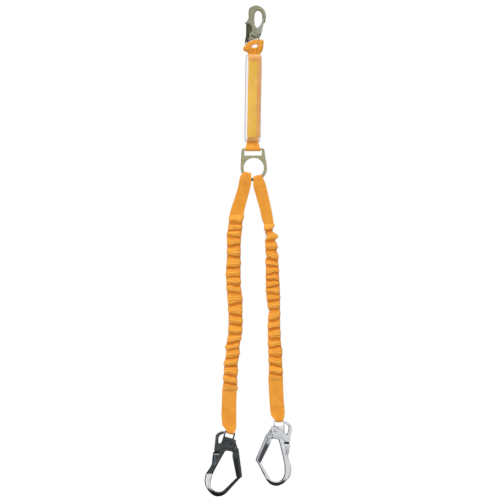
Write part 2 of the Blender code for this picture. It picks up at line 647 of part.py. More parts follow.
# ---------------------------------------------------------------- scaffold hooks
S = SCAFFOLD_PLATE / 2
gd = Vector((-32.7, -75.6)).normalized()     # gate pin towards the nose
gn = Vector((-gd.y, gd.x))                   # towards the inside of the hook
gd, gn = (gd.x, gd.y), (gn.x, gn.y)


def gate_at(w, o):
    return along(GATE_PIN, gd, gn, w, o)


hook_outline = (
    flow([(-17.3, -19.0), (-17.3, -3.0), (-14.8, 1.2), (-9.0, 3.0)], 3)
    + flow([(9.0, 3.0), (14.8, 1.2), (17.3, -3.0), (17.3, -19.0)], 3)
    + flow([(17.6, -30.0), (18.4, -46.0), (20.0, -62.0), (24.0, -73.0)], 2)
    + [(34.4, -75.4)]
    + flow([(34.8, -80.0), (32.6, -97.0), (29.6, -112.0), (31.2, -124.0), (35.6, -138.0),
            (39.2, -151.0), (38.6, -166.0), (33.6, -181.0), (24.0, -193.4), (9.0, -204.6),
            (-8.3, -209.9), (-25.0, -205.6), (-35.6, -196.6), (-42.6, -186.4), (-55.6, -161.0),
            (-67.6, -137.6)], 3)
    + [gate_at(84.6, -8.6), gate_at(80.0, -8.6), gate_at(75.5, -6.4), gate_at(75.0, 5.2),
       gate_at(84.8, 6.2), gate_at(86.2, 8.8)]
    + flow([(-57.6, -137.4), (-45.0, -159.6), (-31.4, -182.6), (-24.0, -190.8),
            (-15.0, -195.2)], 3)
    + flow([(-5.0, -195.2), (4.0, -192.6), (11.6, -186.0), (16.8, -174.0), (18.0, -160.0),
            (17.4, -143.4), (14.8, -128.0), (8.0, -98.0), (0.4, -68.0), (-1.4, -62.6),
            (-6.4, -60.2), (-20.0, -58.6)], 3)
    + arc(GATE_PIN, 9.4, -70, -241, 10)
    + [(-25.0, -38.0), (-21.0, -27.0)]
)


def reflect(pts, m):
    return [(x * m, z) for x, z in pts] if m > 0 else [(-x, z) for x, z in pts][::-1]


lever_outline = (
    [(-25.6, -21.4), (-22.6, -20.2), (-11.2, -20.8), (12.5, -35.5)]
    + flow([(21.0, -44.0), (25.4, -45.6), (28.6, -38.0), (30.8, -26.0), (28.4, -17.6),
            (23.4, -12.6), (18.2, -9.4)], 3)
    + flow([(18.2, -3.6), (25.0, -5.0), (33.2, -10.6), (39.8, -18.4), (41.3, -26.0),
            (39.2, -37.0), (37.4, -48.0), (35.4, -62.0), (34.4, -68.4)], 3)
    + [(20.5, -68.4)]
    + flow([(17.6, -62.0), (10.0, -56.0), (0.0, -52.6), (-12.0, -50.4), (-20.0, -46.0),
            (-23.0, -38.0), (-25.8, -28.0)], 2)
)
lever_room = (
    [(-60.0, -27.2), (-27.6, -24.6), (-21.4, -23.2), (-15.0, -10.0), (10.0, 10.0)]
    + [(15.6, 6.0), (15.6, -6.6)]
    + flow([(18.9, -6.6), (24.4, -8.2), (31.2, -12.8), (36.9, -19.6), (38.4, -26.0),
            (36.4, -37.4), (34.6, -48.4), (32.6, -62.0), (31.6, -76.0)], 2)
    + [(-60.0, -76.0)]
)
gate_outline = (
    [gate_at(83.6, 9.2), gate_at(50.0, 11.0), gate_at(16.0, 13.0)]
    + flow([gate_at(10.0, 12.0), gate_at(3.0, 10.4), gate_at(-9.0, 9.2), (-19.6, -33.0)], 2)
    + arc(GATE_PIN, 29.4, 64, 73, 3)
    + flow([(-29.6, -33.0), (-36.4, -43.0), gate_at(-4.0, -9.4), gate_at(6.0, -9.6)], 2)
    + [gate_at(50.0, -9.4), gate_at(79.6, -9.2), gate_at(83.0, -6.6)]
)
gate_room = [gate_at(130.0, 7.4), gate_at(84.2, 7.4), gate_at(50.0, 9.2), gate_at(22.0, 10.8),
             gate_at(20.0, 30.0), gate_at(-60.0, 40.0), gate_at(-60.0, -50.0),
             gate_at(130.0, -50.0)]

for side, leg in legs.items():
    fr, m = leg["frame"], leg["mirror"]
    metal = DARK_ALLOY if side == "left" else BRIGHT

    def local(p):
        return (p[0] * m, p[1])

    body = flat(side + "_hook_body", [reflect(hook_outline, m)], S, metal, fr)
    round_edges(body, 1.3, 1)
    eye_hole = []
    for cx, cz, a in ((10.8, -4.8, 0), (-10.8, -4.8, 90), (-10.8, -16.6, 180), (10.8, -16.6, 270)):
        eye_hole += arc((cx, cz), 1.8, a, a + 90, 3)
    cut(body, flat(side + "_hook_eye", [reflect(eye_hole, m)], 12, parent=fr, cutter=True))
    for face in (-1, 1):
        tag = "front" if face < 0 else "back"
        cut(body, flat(side + "_eye_waist_" + tag,
                       [reflect([(-24, -17.2), (-24, 9), (24, 9), (24, -17.2)], m)],
                       3.0, parent=fr, cutter=True, shift=face * (3.0 + 3.0)))
        dimple = loop([(18.6, -86.0), (28.2, -86.0), (27.0, -98.0), (24.4, -109.0),
                       (21.4, -110.0), (19.6, -99.0)], 2)
        cut(body, flat(side + "_spine_dimple_" + tag, [reflect(dimple, m)], 3.0, parent=fr,
                       cutter=True, shift=face * (S - 1.4 + 3.0)))
    for pin, what in ((GATE_PIN, "gate"), (LOCK_PIN, "lock")):
        cut(body, stepped_bore("%s_%s_bore" % (side, what), 2.8, 6.0, 2.6, local(pin), fr))

    gate = flat(side + "_gate", [reflect(gate_outline, m)], S + GAP / MM + SHEET, metal, fr,
                origin=local(GATE_PIN))
    round_edges(gate, 0.6, 1)
    cut(gate, flat(side + "_gate_room", [reflect(gate_room, m)], S + GAP / MM, parent=fr,
                   cutter=True))
    cut(gate, cylinder(side + "_gate_pin_hole", 2.8, -20, 20, local(GATE_PIN), parent=fr,
                       cutter=True))

    inner = S + 2 * GAP / MM + SHEET
    lever = flat(side + "_lock_lever", [reflect(lever_outline, m)], inner + SHEET, metal, fr,
                 origin=local(LOCK_PIN))
    round_edges(lever, 0.6, 1)
    cut(lever, flat(side + "_lever_room", [reflect(lever_room, m)], inner, parent=fr,
                    cutter=True))
    cut(lever, cylinder(side + "_lever_pin_hole", 2.8, -20, 20, local(LOCK_PIN), parent=fr,
                        cutter=True))

    rivet(side + "_gate_rivet", 2.4, 4.6, inner, inner + 1.5, local(GATE_PIN), metal, fr)
    rivet(side + "_lock_rivet", 2.4, 4.4, inner + SHEET + GAP / MM, inner + SHEET + 1.6,
          local(LOCK_PIN), metal, fr)
    for pin, what, start in ((GATE_PIN, "gate", 250.0), (LOCK_PIN, "lock", 20.0)):
        coil("%s_%s_spring" % (side, what), 4.2, 1.1, 1.6, -5.2, -3.4, local(pin), STEEL, fr,
             start=start if m > 0 else 180.0 - start, hand=m)
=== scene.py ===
import math
import random

import bmesh
import bpy
import numpy as np
from mathutils import Matrix, Vector, noise
from mathutils.geometry import delaunay_2d_cdt


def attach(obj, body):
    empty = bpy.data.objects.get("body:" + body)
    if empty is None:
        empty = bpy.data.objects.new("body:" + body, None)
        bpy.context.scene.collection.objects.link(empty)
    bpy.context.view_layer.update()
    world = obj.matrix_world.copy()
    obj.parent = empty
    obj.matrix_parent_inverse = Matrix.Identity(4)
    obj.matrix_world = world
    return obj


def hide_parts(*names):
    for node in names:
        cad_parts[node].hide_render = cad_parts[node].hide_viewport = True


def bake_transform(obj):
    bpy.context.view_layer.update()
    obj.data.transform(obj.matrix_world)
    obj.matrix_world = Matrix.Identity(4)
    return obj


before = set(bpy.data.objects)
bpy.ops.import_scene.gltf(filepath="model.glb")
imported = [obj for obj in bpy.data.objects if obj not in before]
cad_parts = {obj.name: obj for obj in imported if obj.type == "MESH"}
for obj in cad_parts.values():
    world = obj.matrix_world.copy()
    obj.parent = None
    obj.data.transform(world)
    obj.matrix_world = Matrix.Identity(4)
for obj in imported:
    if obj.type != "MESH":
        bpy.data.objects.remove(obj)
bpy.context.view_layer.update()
MM = 0.001
G = 3.2
COL0, ROW0 = 257.7, 10.7


# ------------------------------------------------------------------ layout
def at(c, r):
    return ((c - COL0) * G, (ROW0 - r) * G)


def turn(p, d):
    a = math.radians(d)
    return (p[0] * math.cos(a) - p[1] * math.sin(a), p[0] * math.sin(a) + p[1] * math.cos(a))


def along(p, d, n, w, o):
    return (p[0] + d[0] * w + n[0] * o, p[1] + d[1] * w + n[1] * o)


def arc(c, r, a0, a1, n):
    return [(c[0] + r * math.cos(math.radians(a0 + (a1 - a0) * i / n)),
             c[1] + r * math.sin(math.radians(a0 + (a1 - a0) * i / n))) for i in range(n + 1)]


def flow(points, steps=8):
    p = [Vector(q) for q in points]
    p = [p[0] * 2 - p[1]] + p + [p[-1] * 2 - p[-2]]
    out = []
    for i in range(1, len(p) - 2):
        a, b, c, d = p[i - 1], p[i], p[i + 1], p[i + 2]
        for s in range(steps):
            t = s / steps
            v = 0.5 * ((2 * b) + (c - a) * t + (2 * a - 5 * b + 4 * c - d) * t * t
                       + (3 * b - a - 3 * c + d) * t ** 3)
            out.append((v.x, v.y))
    out.append((p[-2].x, p[-2].y))
    return out


def loop(points, steps=6):
    p = [Vector(q) for q in points]
    n = len(p)
    out = []
    for i in range(n):
        a, b, c, d = p[i - 1], p[i], p[(i + 1) % n], p[(i + 2) % n]
        for s in range(steps):
            t = s / steps
            v = 0.5 * ((2 * b) + (c - a) * t + (2 * a - 5 * b + 4 * c - d) * t * t
                       + (3 * b - a - 3 * c + d) * t ** 3)
            out.append((v.x, v.y))
    return out


def lerp_table(rows, x):
    """Piecewise smooth look-up of [(x, value)...] sorted by x."""
    if x <= rows[0][0]:
        return rows[0][1]
    for (a, va), (b, vb) in zip(rows, rows[1:]):
        if x <= b:
            t = (x - a) / (b - a) if b > a else 0.0
            return va + (vb - va) * t
    return rows[-1][1]


# ------------------------------------------------------------------ materials
class Nodes:
    def __init__(self, name):
        self.m = bpy.data.materials.new(name)
        self.m.use_nodes = True
        self.t = self.m.node_tree
        self.b = self.t.nodes["Principled BSDF"]
        self.out = self.t.nodes["Material Output"]

    def add(self, kind, **kw):
        n = self.t.nodes.new(kind)
        for k, v in kw.items():
            if k in n.inputs:
                n.inputs[k].default_value = v
            else:
                setattr(n, k, v)
        return n

    def link(self, a, b):
        self.t.links.new(a, b)

    def math(self, op, a, b=None, c=None, clamp=False):
        n = self.t.nodes.new("ShaderNodeMath")
        n.operation = op
        n.use_clamp = clamp
        for i, v in enumerate((a, b, c)):
            if v is None:
                continue
            if isinstance(v, (int, float)):
                n.inputs[i].default_value = v
            else:
                self.link(v, n.inputs[i])
        return n.outputs[0]

    def mix(self, fac, a, b):
        n = self.t.nodes.new("ShaderNodeMix")
        n.data_type = "RGBA"
        for sock, v in ((n.inputs[0], fac), (n.inputs[6], a), (n.inputs[7], b)):
            if isinstance(v, (int, float)):
                sock.default_value = v
            elif isinstance(v, tuple):
                sock.default_value = (*v, 1.0) if len(v) == 3 else v
            else:
                self.link(v, sock)
        return n.outputs[2]

    def ramp(self, x, lo, hi, a=0.0, b=1.0):
        n = self.t.nodes.new("ShaderNodeMapRange")
        n.inputs[1].default_value = lo
        n.inputs[2].default_value = hi
        n.inputs[3].default_value = a
        n.inputs[4].default_value = b
        n.clamp = True
        self.link(x, n.inputs[0])
        return n.outputs[0]

    def noise(self, scale, detail=4.0, rough=0.55, vec=None):
        n = self.add("ShaderNodeTexNoise")
        n.inputs["Scale"].default_value = scale
        n.inputs["Detail"].default_value = detail
        n.inputs["Roughness"].default_value = rough
        if vec is not None:
            self.link(vec, n.inputs["Vector"])
        return n.outputs["Fac"]

    def obj(self):
        return self.add("ShaderNodeTexCoord").outputs["Object"]

    def bump(self, h, strength, dist):
        n = self.add("ShaderNodeBump")
        n.inputs["Strength"].default_value = strength
        n.inputs["Distance"].default_value = dist
        self.link(h, n.inputs["Height"])
        self.link(n.outputs["Normal"], self.b.inputs["Normal"])


def metal(name, base, dark, light, rough=0.35, metallic=1.0, wear=0.5, brush=None, tint=None,
          bump=0.12, extra=None, shade=0.75):
    """Plated or polished metal: cloudy tone, rubbed edges lightened as wear and as a painted edge highlight, painted
    shade in the corners.
    """
    n = Nodes(name)
    co = n.obj()
    big = n.noise(55.0, 3.0, 0.5, co)
    fine = n.noise(900.0, 3.0, 0.6, co)
    nrm = n.add("ShaderNodeTexCoord").outputs["Normal"]
    sep = n.add("ShaderNodeSeparateXYZ")
    n.link(nrm, sep.inputs[0])
    flat = n.math("ABSOLUTE", sep.outputs[1])
    # bevel edges lightened: rubbed wear, and also a painted edge highlight
    edge = n.math("MULTIPLY", n.ramp(flat, 0.985, 0.88), n.ramp(flat, 0.12, 0.42))
    edge = n.math("MULTIPLY", edge, n.ramp(n.noise(260.0, 3.0, 0.6, co), 0.32, 0.6))
    c = n.mix(n.ramp(big, 0.35, 0.65), dark, base)
    if tint:
        blot = n.noise(140.0, 2.0, 0.5, co)
        c = n.mix(n.math("MULTIPLY", n.ramp(blot, 0.5, 0.72), 0.55), c, tint)
    mp = n.add("ShaderNodeMapping")
    mp.inputs["Rotation"].default_value = (0, 0.6, 0)
    mp.inputs["Scale"].default_value = (60, 60, 2600)
    n.link(co, mp.inputs["Vector"])
    scratch = n.ramp(n.noise(1.0, 2.0, 0.5, mp.outputs["Vector"]), 0.66, 0.74)
    c = n.mix(n.math("MULTIPLY", scratch, 0.25 * wear), c, light)
    c = n.mix(n.math("MULTIPLY", edge, wear), c, light)
    if extra:
        c = extra(n, c)
    # ambient occlusion paints shade into the corners and into the gaps between parts
    ao = n.add("ShaderNodeAmbientOcclusion")
    ao.samples = 6
    ao.inputs["Distance"].default_value = 0.006
    occl = n.ramp(ao.outputs["AO"], 0.35, 0.95, 1.0 - shade, 1.0)
    c = n.mix(occl, tuple(x * 0.12 for x in dark), c)
    n.link(c, n.b.inputs["Base Color"])
    n.b.inputs["Metallic"].default_value = metallic
    r = n.math("ADD", n.math("MULTIPLY", n.math("SUBTRACT", fine, 0.5), 0.16), rough)
    r = n.math("ADD", r, n.math("MULTIPLY", n.math("SUBTRACT", big, 0.5), 0.14), clamp=True)
    n.link(r, n.b.inputs["Roughness"])
    if brush:
        mp = n.add("ShaderNodeMapping")
        mp.inputs["Scale"].default_value = brush
        n.link(co, mp.inputs["Vector"])
        h = n.noise(1.0, 4.0, 0.6, mp.outputs["Vector"])
    else:
        h = n.noise(420.0, 4.0, 0.6, co)
    n.bump(h, bump, 0.0004)
    return n.m


def hook_place(n, eye, tilt, m):
    """Position in the frame of a scaffold hook, in metres."""
    sep = n.add("ShaderNodeSeparateXYZ")
    n.link(n.obj(), sep.inputs[0])
    dx = n.math("SUBTRACT", sep.outputs[0], eye[0] * MM)
    dz = n.math("SUBTRACT", sep.outputs[2], eye[1] * MM)
    ca, sa = math.cos(math.radians(tilt)), math.sin(math.radians(tilt))
    x = n.math("ADD", n.math("MULTIPLY", dx, ca * m), n.math("MULTIPLY", dz, sa * m))
    z = n.math("SUBTRACT", n.math("MULTIPLY", dz, ca), n.math("MULTIPLY", dx, sa))
    return x, z


def near_line(n, x, z, p, q, half, soft):
    """Mask of a capsule between two points of the hook frame, in mm."""
    px, pz = p[0] * MM, p[1] * MM
    dx, dz = (q[0] - p[0]) * MM, (q[1] - p[1]) * MM
    ll = max(dx * dx + dz * dz, 1e-12)
    ax, az = n.math("SUBTRACT", x, px), n.math("SUBTRACT", z, pz)
    t = n.math("ADD", n.math("MULTIPLY", ax, dx / ll), n.math("MULTIPLY", az, dz / ll), clamp=True)
    ex = n.math("SUBTRACT", ax, n.math("MULTIPLY", t, dx))
    ez = n.math("SUBTRACT", az, n.math("MULTIPLY", t, dz))
    d = n.math("SQRT", n.math("ADD", n.math("MULTIPLY", ex, ex), n.math("MULTIPLY", ez, ez)))
    return n.ramp(d, (half + soft) * MM, max(half - soft, 0.0) * MM)


def hook_local(spot, eye, tilt, m):
    """Picture grid position into the frame of a hook."""
    w = at(*spot)
    q = turn((w[0] - eye[0], w[1] - eye[1]), -tilt)
    return (q[0] * m, q[1])


# Paints lines of shade and reflection into a hook metal: dark lines for shade in gaps and for reflected dark
# surroundings, pale lines for painted highlights.
def paint_reflection_shade_lines(n, c, x, z, hook, lines):
    for p, q, half, colour, k in lines:
        m = near_line(n, x, z, hook_local(p, *hook), hook_local(q, *hook), half, 0.45)
        c = n.mix(n.math("MULTIPLY", m, k), c, colour)
    return c


# Line colours: a dark one for painted shade and dark reflections, a pale one for painted highlights.
DARK_REFLECTION_SHADE = (0.02, 0.021, 0.024)
PALE = (0.95, 0.96, 0.97)
# Per hook, capsules of painted shade and reflection: (from, to, half width in mm, colour, strength).
BODY_REFLECTION_SHADE_LINES = {
    "right": [((284.6, 442.9), (289.4, 442.9), 1.7, DARK_REFLECTION_SHADE, 0.97),
              ((278.3, 439.0), (281.2, 449.5), 0.9, DARK_REFLECTION_SHADE, 0.9),
              ((281.2, 449.5), (283.4, 459.0), 0.9, DARK_REFLECTION_SHADE, 0.9),
              ((283.4, 459.0), (283.9, 464.5), 1.0, (0.08, 0.08, 0.09), 0.8),
              ((257.4, 461.8), (264.6, 474.0), 1.1, DARK_REFLECTION_SHADE, 0.95),
              ((285.0, 475.0), (282.0, 480.6), 0.9, DARK_REFLECTION_SHADE, 0.85),
              ((272.8, 437.4), (272.6, 440.0), 2.1, (0.09, 0.09, 0.10), 0.9),
              ((275.6, 426.2), (282.6, 431.4), 0.55, (0.05, 0.055, 0.06), 0.85),
              ((276.9, 428.6), (276.9, 428.7), 0.9, (0.12, 0.10, 0.11), 0.8),
              ((286.4, 450.2), (286.6, 453.6), 1.6, (0.16, 0.17, 0.18), 0.75),
              ((286.0, 446.0), (286.4, 450.0), 2.0, (0.42, 0.44, 0.46), 0.6)],
    "left": [((213.6, 452.4), (220.0, 452.4), 1.2, DARK_REFLECTION_SHADE, 0.95),
             ((213.6, 454.1), (218.6, 454.1), 0.85, PALE, 0.95),
             ((212.8, 463.4), (215.0, 463.9), 0.7, (0.6, 0.63, 0.62), 0.8),
             ((215.0, 463.9), (216.0, 461.2), 0.6, (0.6, 0.63, 0.62), 0.7),
             ((215.2, 456.0), (214.4, 461.6), 2.9, (0.13, 0.15, 0.20), 0.8),
             ((225.2, 451.0), (212.8, 472.4), 1.3, (0.012, 0.012, 0.014), 0.9),
             ((204.9, 480.6), (205.4, 481.6), 1.3, (0.12, 0.13, 0.15), 0.9),
             ((206.4, 475.6), (203.4, 481.4), 0.6, (0.16, 0.17, 0.18), 0.8),
             ((211.2, 476.2), (208.6, 481.6), 0.55, (0.22, 0.23, 0.25), 0.8),
             ((208.6, 481.6), (208.7, 487.4), 0.5, (0.25, 0.26, 0.28), 0.8),
             ((208.7, 487.4), (211.2, 492.0), 0.5, (0.22, 0.23, 0.25), 0.8),
             ((221.2, 446.6), (219.0, 444.0), 0.8, (0.5, 0.5, 0.47), 0.7),
             ((220.2, 443.4), (221.9, 447.2), 0.6, (0.55, 0.55, 0.52), 0.6),
             ((239.6, 476.4), (224.0, 494.2), 1.7, (0.014, 0.014, 0.016), 0.9)],
}
GATE_REFLECTION_SHADE_LINES = {
    "right": [((273.3, 427.4), (268.9, 435.4), 0.8, DARK_REFLECTION_SHADE, 0.9),
              ((268.4, 437.0), (266.6, 443.0), 1.0, (0.06, 0.065, 0.07), 0.85),
              ((271.4, 426.1), (275.2, 426.1), 0.9, DARK_REFLECTION_SHADE, 0.95),
              ((268.6, 445.0), (261.2, 460.6), 0.45, (0.30, 0.31, 0.33), 0.7),
              ((265.6, 444.0), (257.8, 458.0), 0.5, (0.12, 0.125, 0.13), 0.75),
              ((257.4, 455.4), (256.6, 459.0), 1.0, (0.05, 0.05, 0.06), 0.85),
              ((258.4, 461.4), (260.6, 462.8), 0.8, (0.03, 0.03, 0.03), 0.8)],
    "left": [((235.5, 447.2), (235.6, 447.7), 1.0, (0.62, 0.60, 0.66), 0.9),
             ((236.2, 449.0), (241.2, 474.0), 0.5, (0.20, 0.22, 0.23), 0.7),
             ((238.0, 449.6), (241.8, 470.0), 0.5, (0.02, 0.022, 0.024), 0.8),
             ((237.4, 446.0), (239.2, 452.0), 0.6, (0.30, 0.32, 0.33), 0.7)],
}
LEVER_REFLECTION_SHADE_LINES = {
    "right": [((288.9, 425.0), (288.8, 429.5), 0.8, DARK_REFLECTION_SHADE, 0.9),
              ((288.8, 429.5), (287.2, 434.4), 0.8, DARK_REFLECTION_SHADE, 0.9),
              ((290.6, 436.0), (290.0, 441.6), 0.5, (0.08, 0.085, 0.09), 0.8)],
    "left": [((213.4, 451.0), (219.8, 451.0), 0.8, PALE, 0.95),
             ((217.6, 434.4), (214.2, 449.6), 0.6, (0.22, 0.25, 0.24), 0.6),
             ((216.8, 433.2), (221.8, 432.0), 0.9, (0.02, 0.02, 0.025), 0.8),
             ((218.2, 437.5), (217.4, 443.5), 0.8, (0.015, 0.015, 0.018), 0.85)],
}


def ring_painted_shadow(n, c):
    """Painted shadow on the rim between the two leg loops."""
    x, z = hook_place(n, at(252.3, 179.8), 0.0, 1)
    m = near_line(n, x, z, (-1.8, 0.4), (2.2, -0.4), 3.6, 0.9)
    return n.mix(n.math("MULTIPLY", m, 0.85), c, (0.06, 0.045, 0.02))


# Paints one side's lines of painted shade and reflection into a hook metal.
def side_reflection_shade(side, which):
    def tone(n, c):
        hook = EYES[side]
        x, z = hook_place(n, *hook)
        return paint_reflection_shade_lines(n, c, x, z, hook, which[side])
    return tone


def hook_painted_reflections(eye, tilt, m, bright_bowl):
    """Painted reflections on the polished bowl: a black band along the underside, and on the dark hook a bright
    quarter.
    """
    def tone(n, c):
        x, z = hook_place(n, eye, tilt, m)
        # painted reflection: the low bowl of the shaded hook turned near white
        if bright_bowl:
            edge = n.math("ADD", z, n.math("MULTIPLY", x, 0.30))
            low = n.math("MULTIPLY", n.ramp(edge, -0.1365, -0.1385), n.ramp(x, 0.004, 0.012))
            c = n.mix(low, c, (0.99, 0.99, 1.0))
        # painted dark reflection: a black band round the underside of the bowl
        dx, dz = n.math("ADD", x, 0.008), n.math("ADD", z, 0.160)
        rr = n.math("SQRT", n.math("ADD", n.math("MULTIPLY", dx, dx), n.math("MULTIPLY", dz, dz)))
        band = n.ramp(rr, 0.0372, 0.0390)
        band = n.math("MULTIPLY", band, n.ramp(z, -0.1845, -0.1895))
        band = n.math("MULTIPLY", band, n.ramp(x, 0.023, 0.016))
        c = n.mix(n.math("MULTIPLY", band, 0.97), c, (0.012, 0.012, 0.014))
        side = "left" if bright_bowl else "right"
        return paint_reflection_shade_lines(n, c, x, z, (eye, tilt, m), BODY_REFLECTION_SHADE_LINES[side])
    return tone


def gate_channel_shade(eye, tilt, m, dark):
    """Pressed gate, its outer strip left bright: painted shade darkens the open channel towards the throat, and lines
    of painted shade and reflection are added.
    """
    def tone(n, c):
        x, z = hook_place(n, eye, tilt, m)
        gx, gz = 0.3970, 0.9178              # unit vector from nose to pin
        px, pz = n.math("ADD", x, 0.0333), n.math("ADD", z, 0.0534)
        w = n.math("MULTIPLY", n.math("ADD", n.math("MULTIPLY", px, gx),
                                      n.math("MULTIPLY", pz, gz)), -1.0)
        o = n.math("SUBTRACT", n.math("MULTIPLY", px, gz), n.math("MULTIPLY", pz, gx))
        # painted shade inside the channel of the gate
        inner = n.math("MULTIPLY", n.ramp(o, -0.0032, -0.0012), n.ramp(w, 0.016, 0.026))
        c = n.mix(n.math("MULTIPLY", inner, 0.93), c, dark)
        side = "left" if m < 0 else "right"
        return paint_reflection_shade_lines(n, c, x, z, (eye, tilt, m), GATE_REFLECTION_SHADE_LINES[side])
    return tone


def fabric(name, base, dark, light, rib=1.15, pitch=1.5, seed=0.0, strength=0.55, fuzz=0.25,
           valley_shade_crest_highlight=None, painted_glow=0.0):
    """Woven polyester webbing.  UV map is in metres: U across, V along."""
    n = Nodes(name)
    uv = n.add("ShaderNodeUVMap").outputs["UV"]
    sep = n.add("ShaderNodeSeparateXYZ")
    n.link(uv, sep.inputs[0])
    u, v = sep.outputs[0], sep.outputs[1]
    # chevron: the twill line changes side every few ribs
    tri = n.math("PINGPONG", u, 0.0056)
    ph = n.math("ADD", n.math("MULTIPLY", v, 2 * math.pi / (pitch * MM)),
                n.math("MULTIPLY", tri, 2 * math.pi / (1.6 * MM)))
    twill = n.math("MULTIPLY_ADD", n.math("SINE", ph), 0.5, 0.5)
    ribs = n.math("MULTIPLY_ADD", n.math("SINE", n.math("MULTIPLY", u, 2 * math.pi / (rib * MM))),
                  0.5, 0.5)
    h = n.math("ADD", n.math("MULTIPLY", twill, 0.6), n.math("MULTIPLY", ribs, 0.4))
    co = n.obj()
    cloud = n.noise(38.0, 3.0, 0.5, co)
    grain = n.noise(1500.0, 2.0, 0.6, co)
    hh = n.math("ADD", h, n.math("MULTIPLY", grain, fuzz))
    c = n.mix(n.ramp(cloud, 0.3, 0.7), dark, base)
    c = n.mix(n.math("MULTIPLY", n.ramp(h, 0.55, 1.0), 0.55), c, light)
    c = n.mix(n.math("MULTIPLY", n.ramp(h, 0.35, 0.0), 0.5), c, tuple(x * 0.62 for x in dark))
    # pointiness: painted shade in the hollows and a painted highlight on the ridges
    geo = n.add("ShaderNodeNewGeometry")
    crease_shade = n.ramp(geo.outputs["Pointiness"], 0.5, 0.43)
    c = n.mix(n.math("MULTIPLY", crease_shade, 0.75), c, (dark[0] * 0.62, dark[1] * 0.45, dark[2] * 0.3))
    ridge = n.ramp(geo.outputs["Pointiness"], 0.51, 0.57)
    c = n.mix(n.math("MULTIPLY", ridge, 0.4), c, light)
    # fold attribute paints shade into the valleys of the pleats and a highlight on the crests
    if valley_shade_crest_highlight:
        fold_shade_attr = n.add("ShaderNodeAttribute")
        fold_shade_attr.attribute_name = "fold"
        deep, crest = valley_shade_crest_highlight
        c = n.mix(n.math("MULTIPLY", n.ramp(fold_shade_attr.outputs["Fac"], 0.42, 0.95), 0.85), c, deep)
        c = n.mix(n.math("MULTIPLY", n.ramp(fold_shade_attr.outputs["Fac"], 0.28, 0.0), 0.55), c, crest)
    n.link(c, n.b.inputs["Base Color"])
    # emission brightens the cloth under the film: painted light
    if painted_glow:
        n.link(c, n.b.inputs["Emission Color"])
        n.b.inputs["Emission Strength"].default_value = painted_glow
    n.b.inputs["Roughness"].default_value = 0.78
    n.b.inputs["Sheen Weight"].default_value = 0.35
    n.b.inputs["Sheen Roughness"].default_value = 0.4
    n.b.inputs["Specular IOR Level"].default_value = 0.35
    n.bump(hh, strength, 0.0005)
    return n.m


ORANGE = fabric("webbing_orange", (0.94, 0.39, 0.045), (0.82, 0.29, 0.025), (1.0, 0.52, 0.09))
# sleeve: its two fold colours are the painted valley shade and the painted crest highlight
SLEEVE = fabric("sleeve_orange", (0.96, 0.40, 0.045), (0.84, 0.30, 0.022), (1.0, 0.55, 0.11),
                rib=1.0, pitch=1.3, strength=0.45,
                valley_shade_crest_highlight=((0.60, 0.165, 0.010), (1.0, 0.46, 0.075)))
# tear webbing glows faintly to stay bright under the film: painted light
TEAR = fabric("tear_orange", (0.95, 0.50, 0.13), (0.85, 0.38, 0.07), (1.0, 0.66, 0.26), rib=1.4,
              painted_glow=0.12)
THREAD = fabric("thread_orange", (0.80, 0.26, 0.02), (0.62, 0.17, 0.01), (0.95, 0.40, 0.06),
                strength=0.2)
ELASTIC = fabric("elastic_white", (0.78, 0.76, 0.7), (0.62, 0.6, 0.55), (0.9, 0.9, 0.86))
ZINC = metal("zinc_olive", (0.47, 0.465, 0.335), (0.35, 0.345, 0.235), (0.64, 0.63, 0.52), 0.42,
             0.9, 0.5, tint=(0.40, 0.33, 0.18))
ZINC_RING = metal("zinc_ring", (0.54, 0.52, 0.33), (0.41, 0.385, 0.235), (0.72, 0.70, 0.53),
                  0.40, 0.9, 0.55, tint=(0.56, 0.45, 0.25), extra=ring_painted_shadow)
ZINC_PALE = metal("zinc_pale", (0.52, 0.53, 0.44), (0.40, 0.41, 0.33), (0.74, 0.74, 0.67), 0.36,
                  0.95, 0.6, brush=(2500, 2500, 220))
ZINC_DARK = metal("zinc_dark", (0.13, 0.13, 0.085), (0.07, 0.07, 0.045), (0.34, 0.33, 0.24), 0.42,
                  0.9, 0.6)
EYES = {"left": (at(230.2, 432.0), -15.5, -1), "right": (at(279.0, 420.2), 0.0, 1)}
# right hook: the lit copy of the hook metals; their extras paint reflections and lines of shade
BRIGHT = metal("alloy_bright", (0.90, 0.92, 0.94), (0.78, 0.80, 0.83), (1.0, 1.0, 1.0), 0.20,
               1.0, 0.5, bump=0.05, extra=hook_painted_reflections(*EYES["right"], False))
BRIGHT_SHEET = metal("sheet_bright", (0.86, 0.88, 0.91), (0.72, 0.74, 0.77), (1.0, 1.0, 1.0),
                     0.22, 1.0, 0.6, brush=(1800, 1800, 140), bump=0.08,
                     extra=side_reflection_shade("right", LEVER_REFLECTION_SHADE_LINES))
BRIGHT_GATE = metal("gate_bright", (0.70, 0.72, 0.76), (0.56, 0.58, 0.62), (0.95, 0.96, 0.98),
                    0.24, 1.0, 0.6, brush=(1800, 1800, 140), bump=0.08,
                    extra=gate_channel_shade(*EYES["right"], (0.045, 0.05, 0.055)))
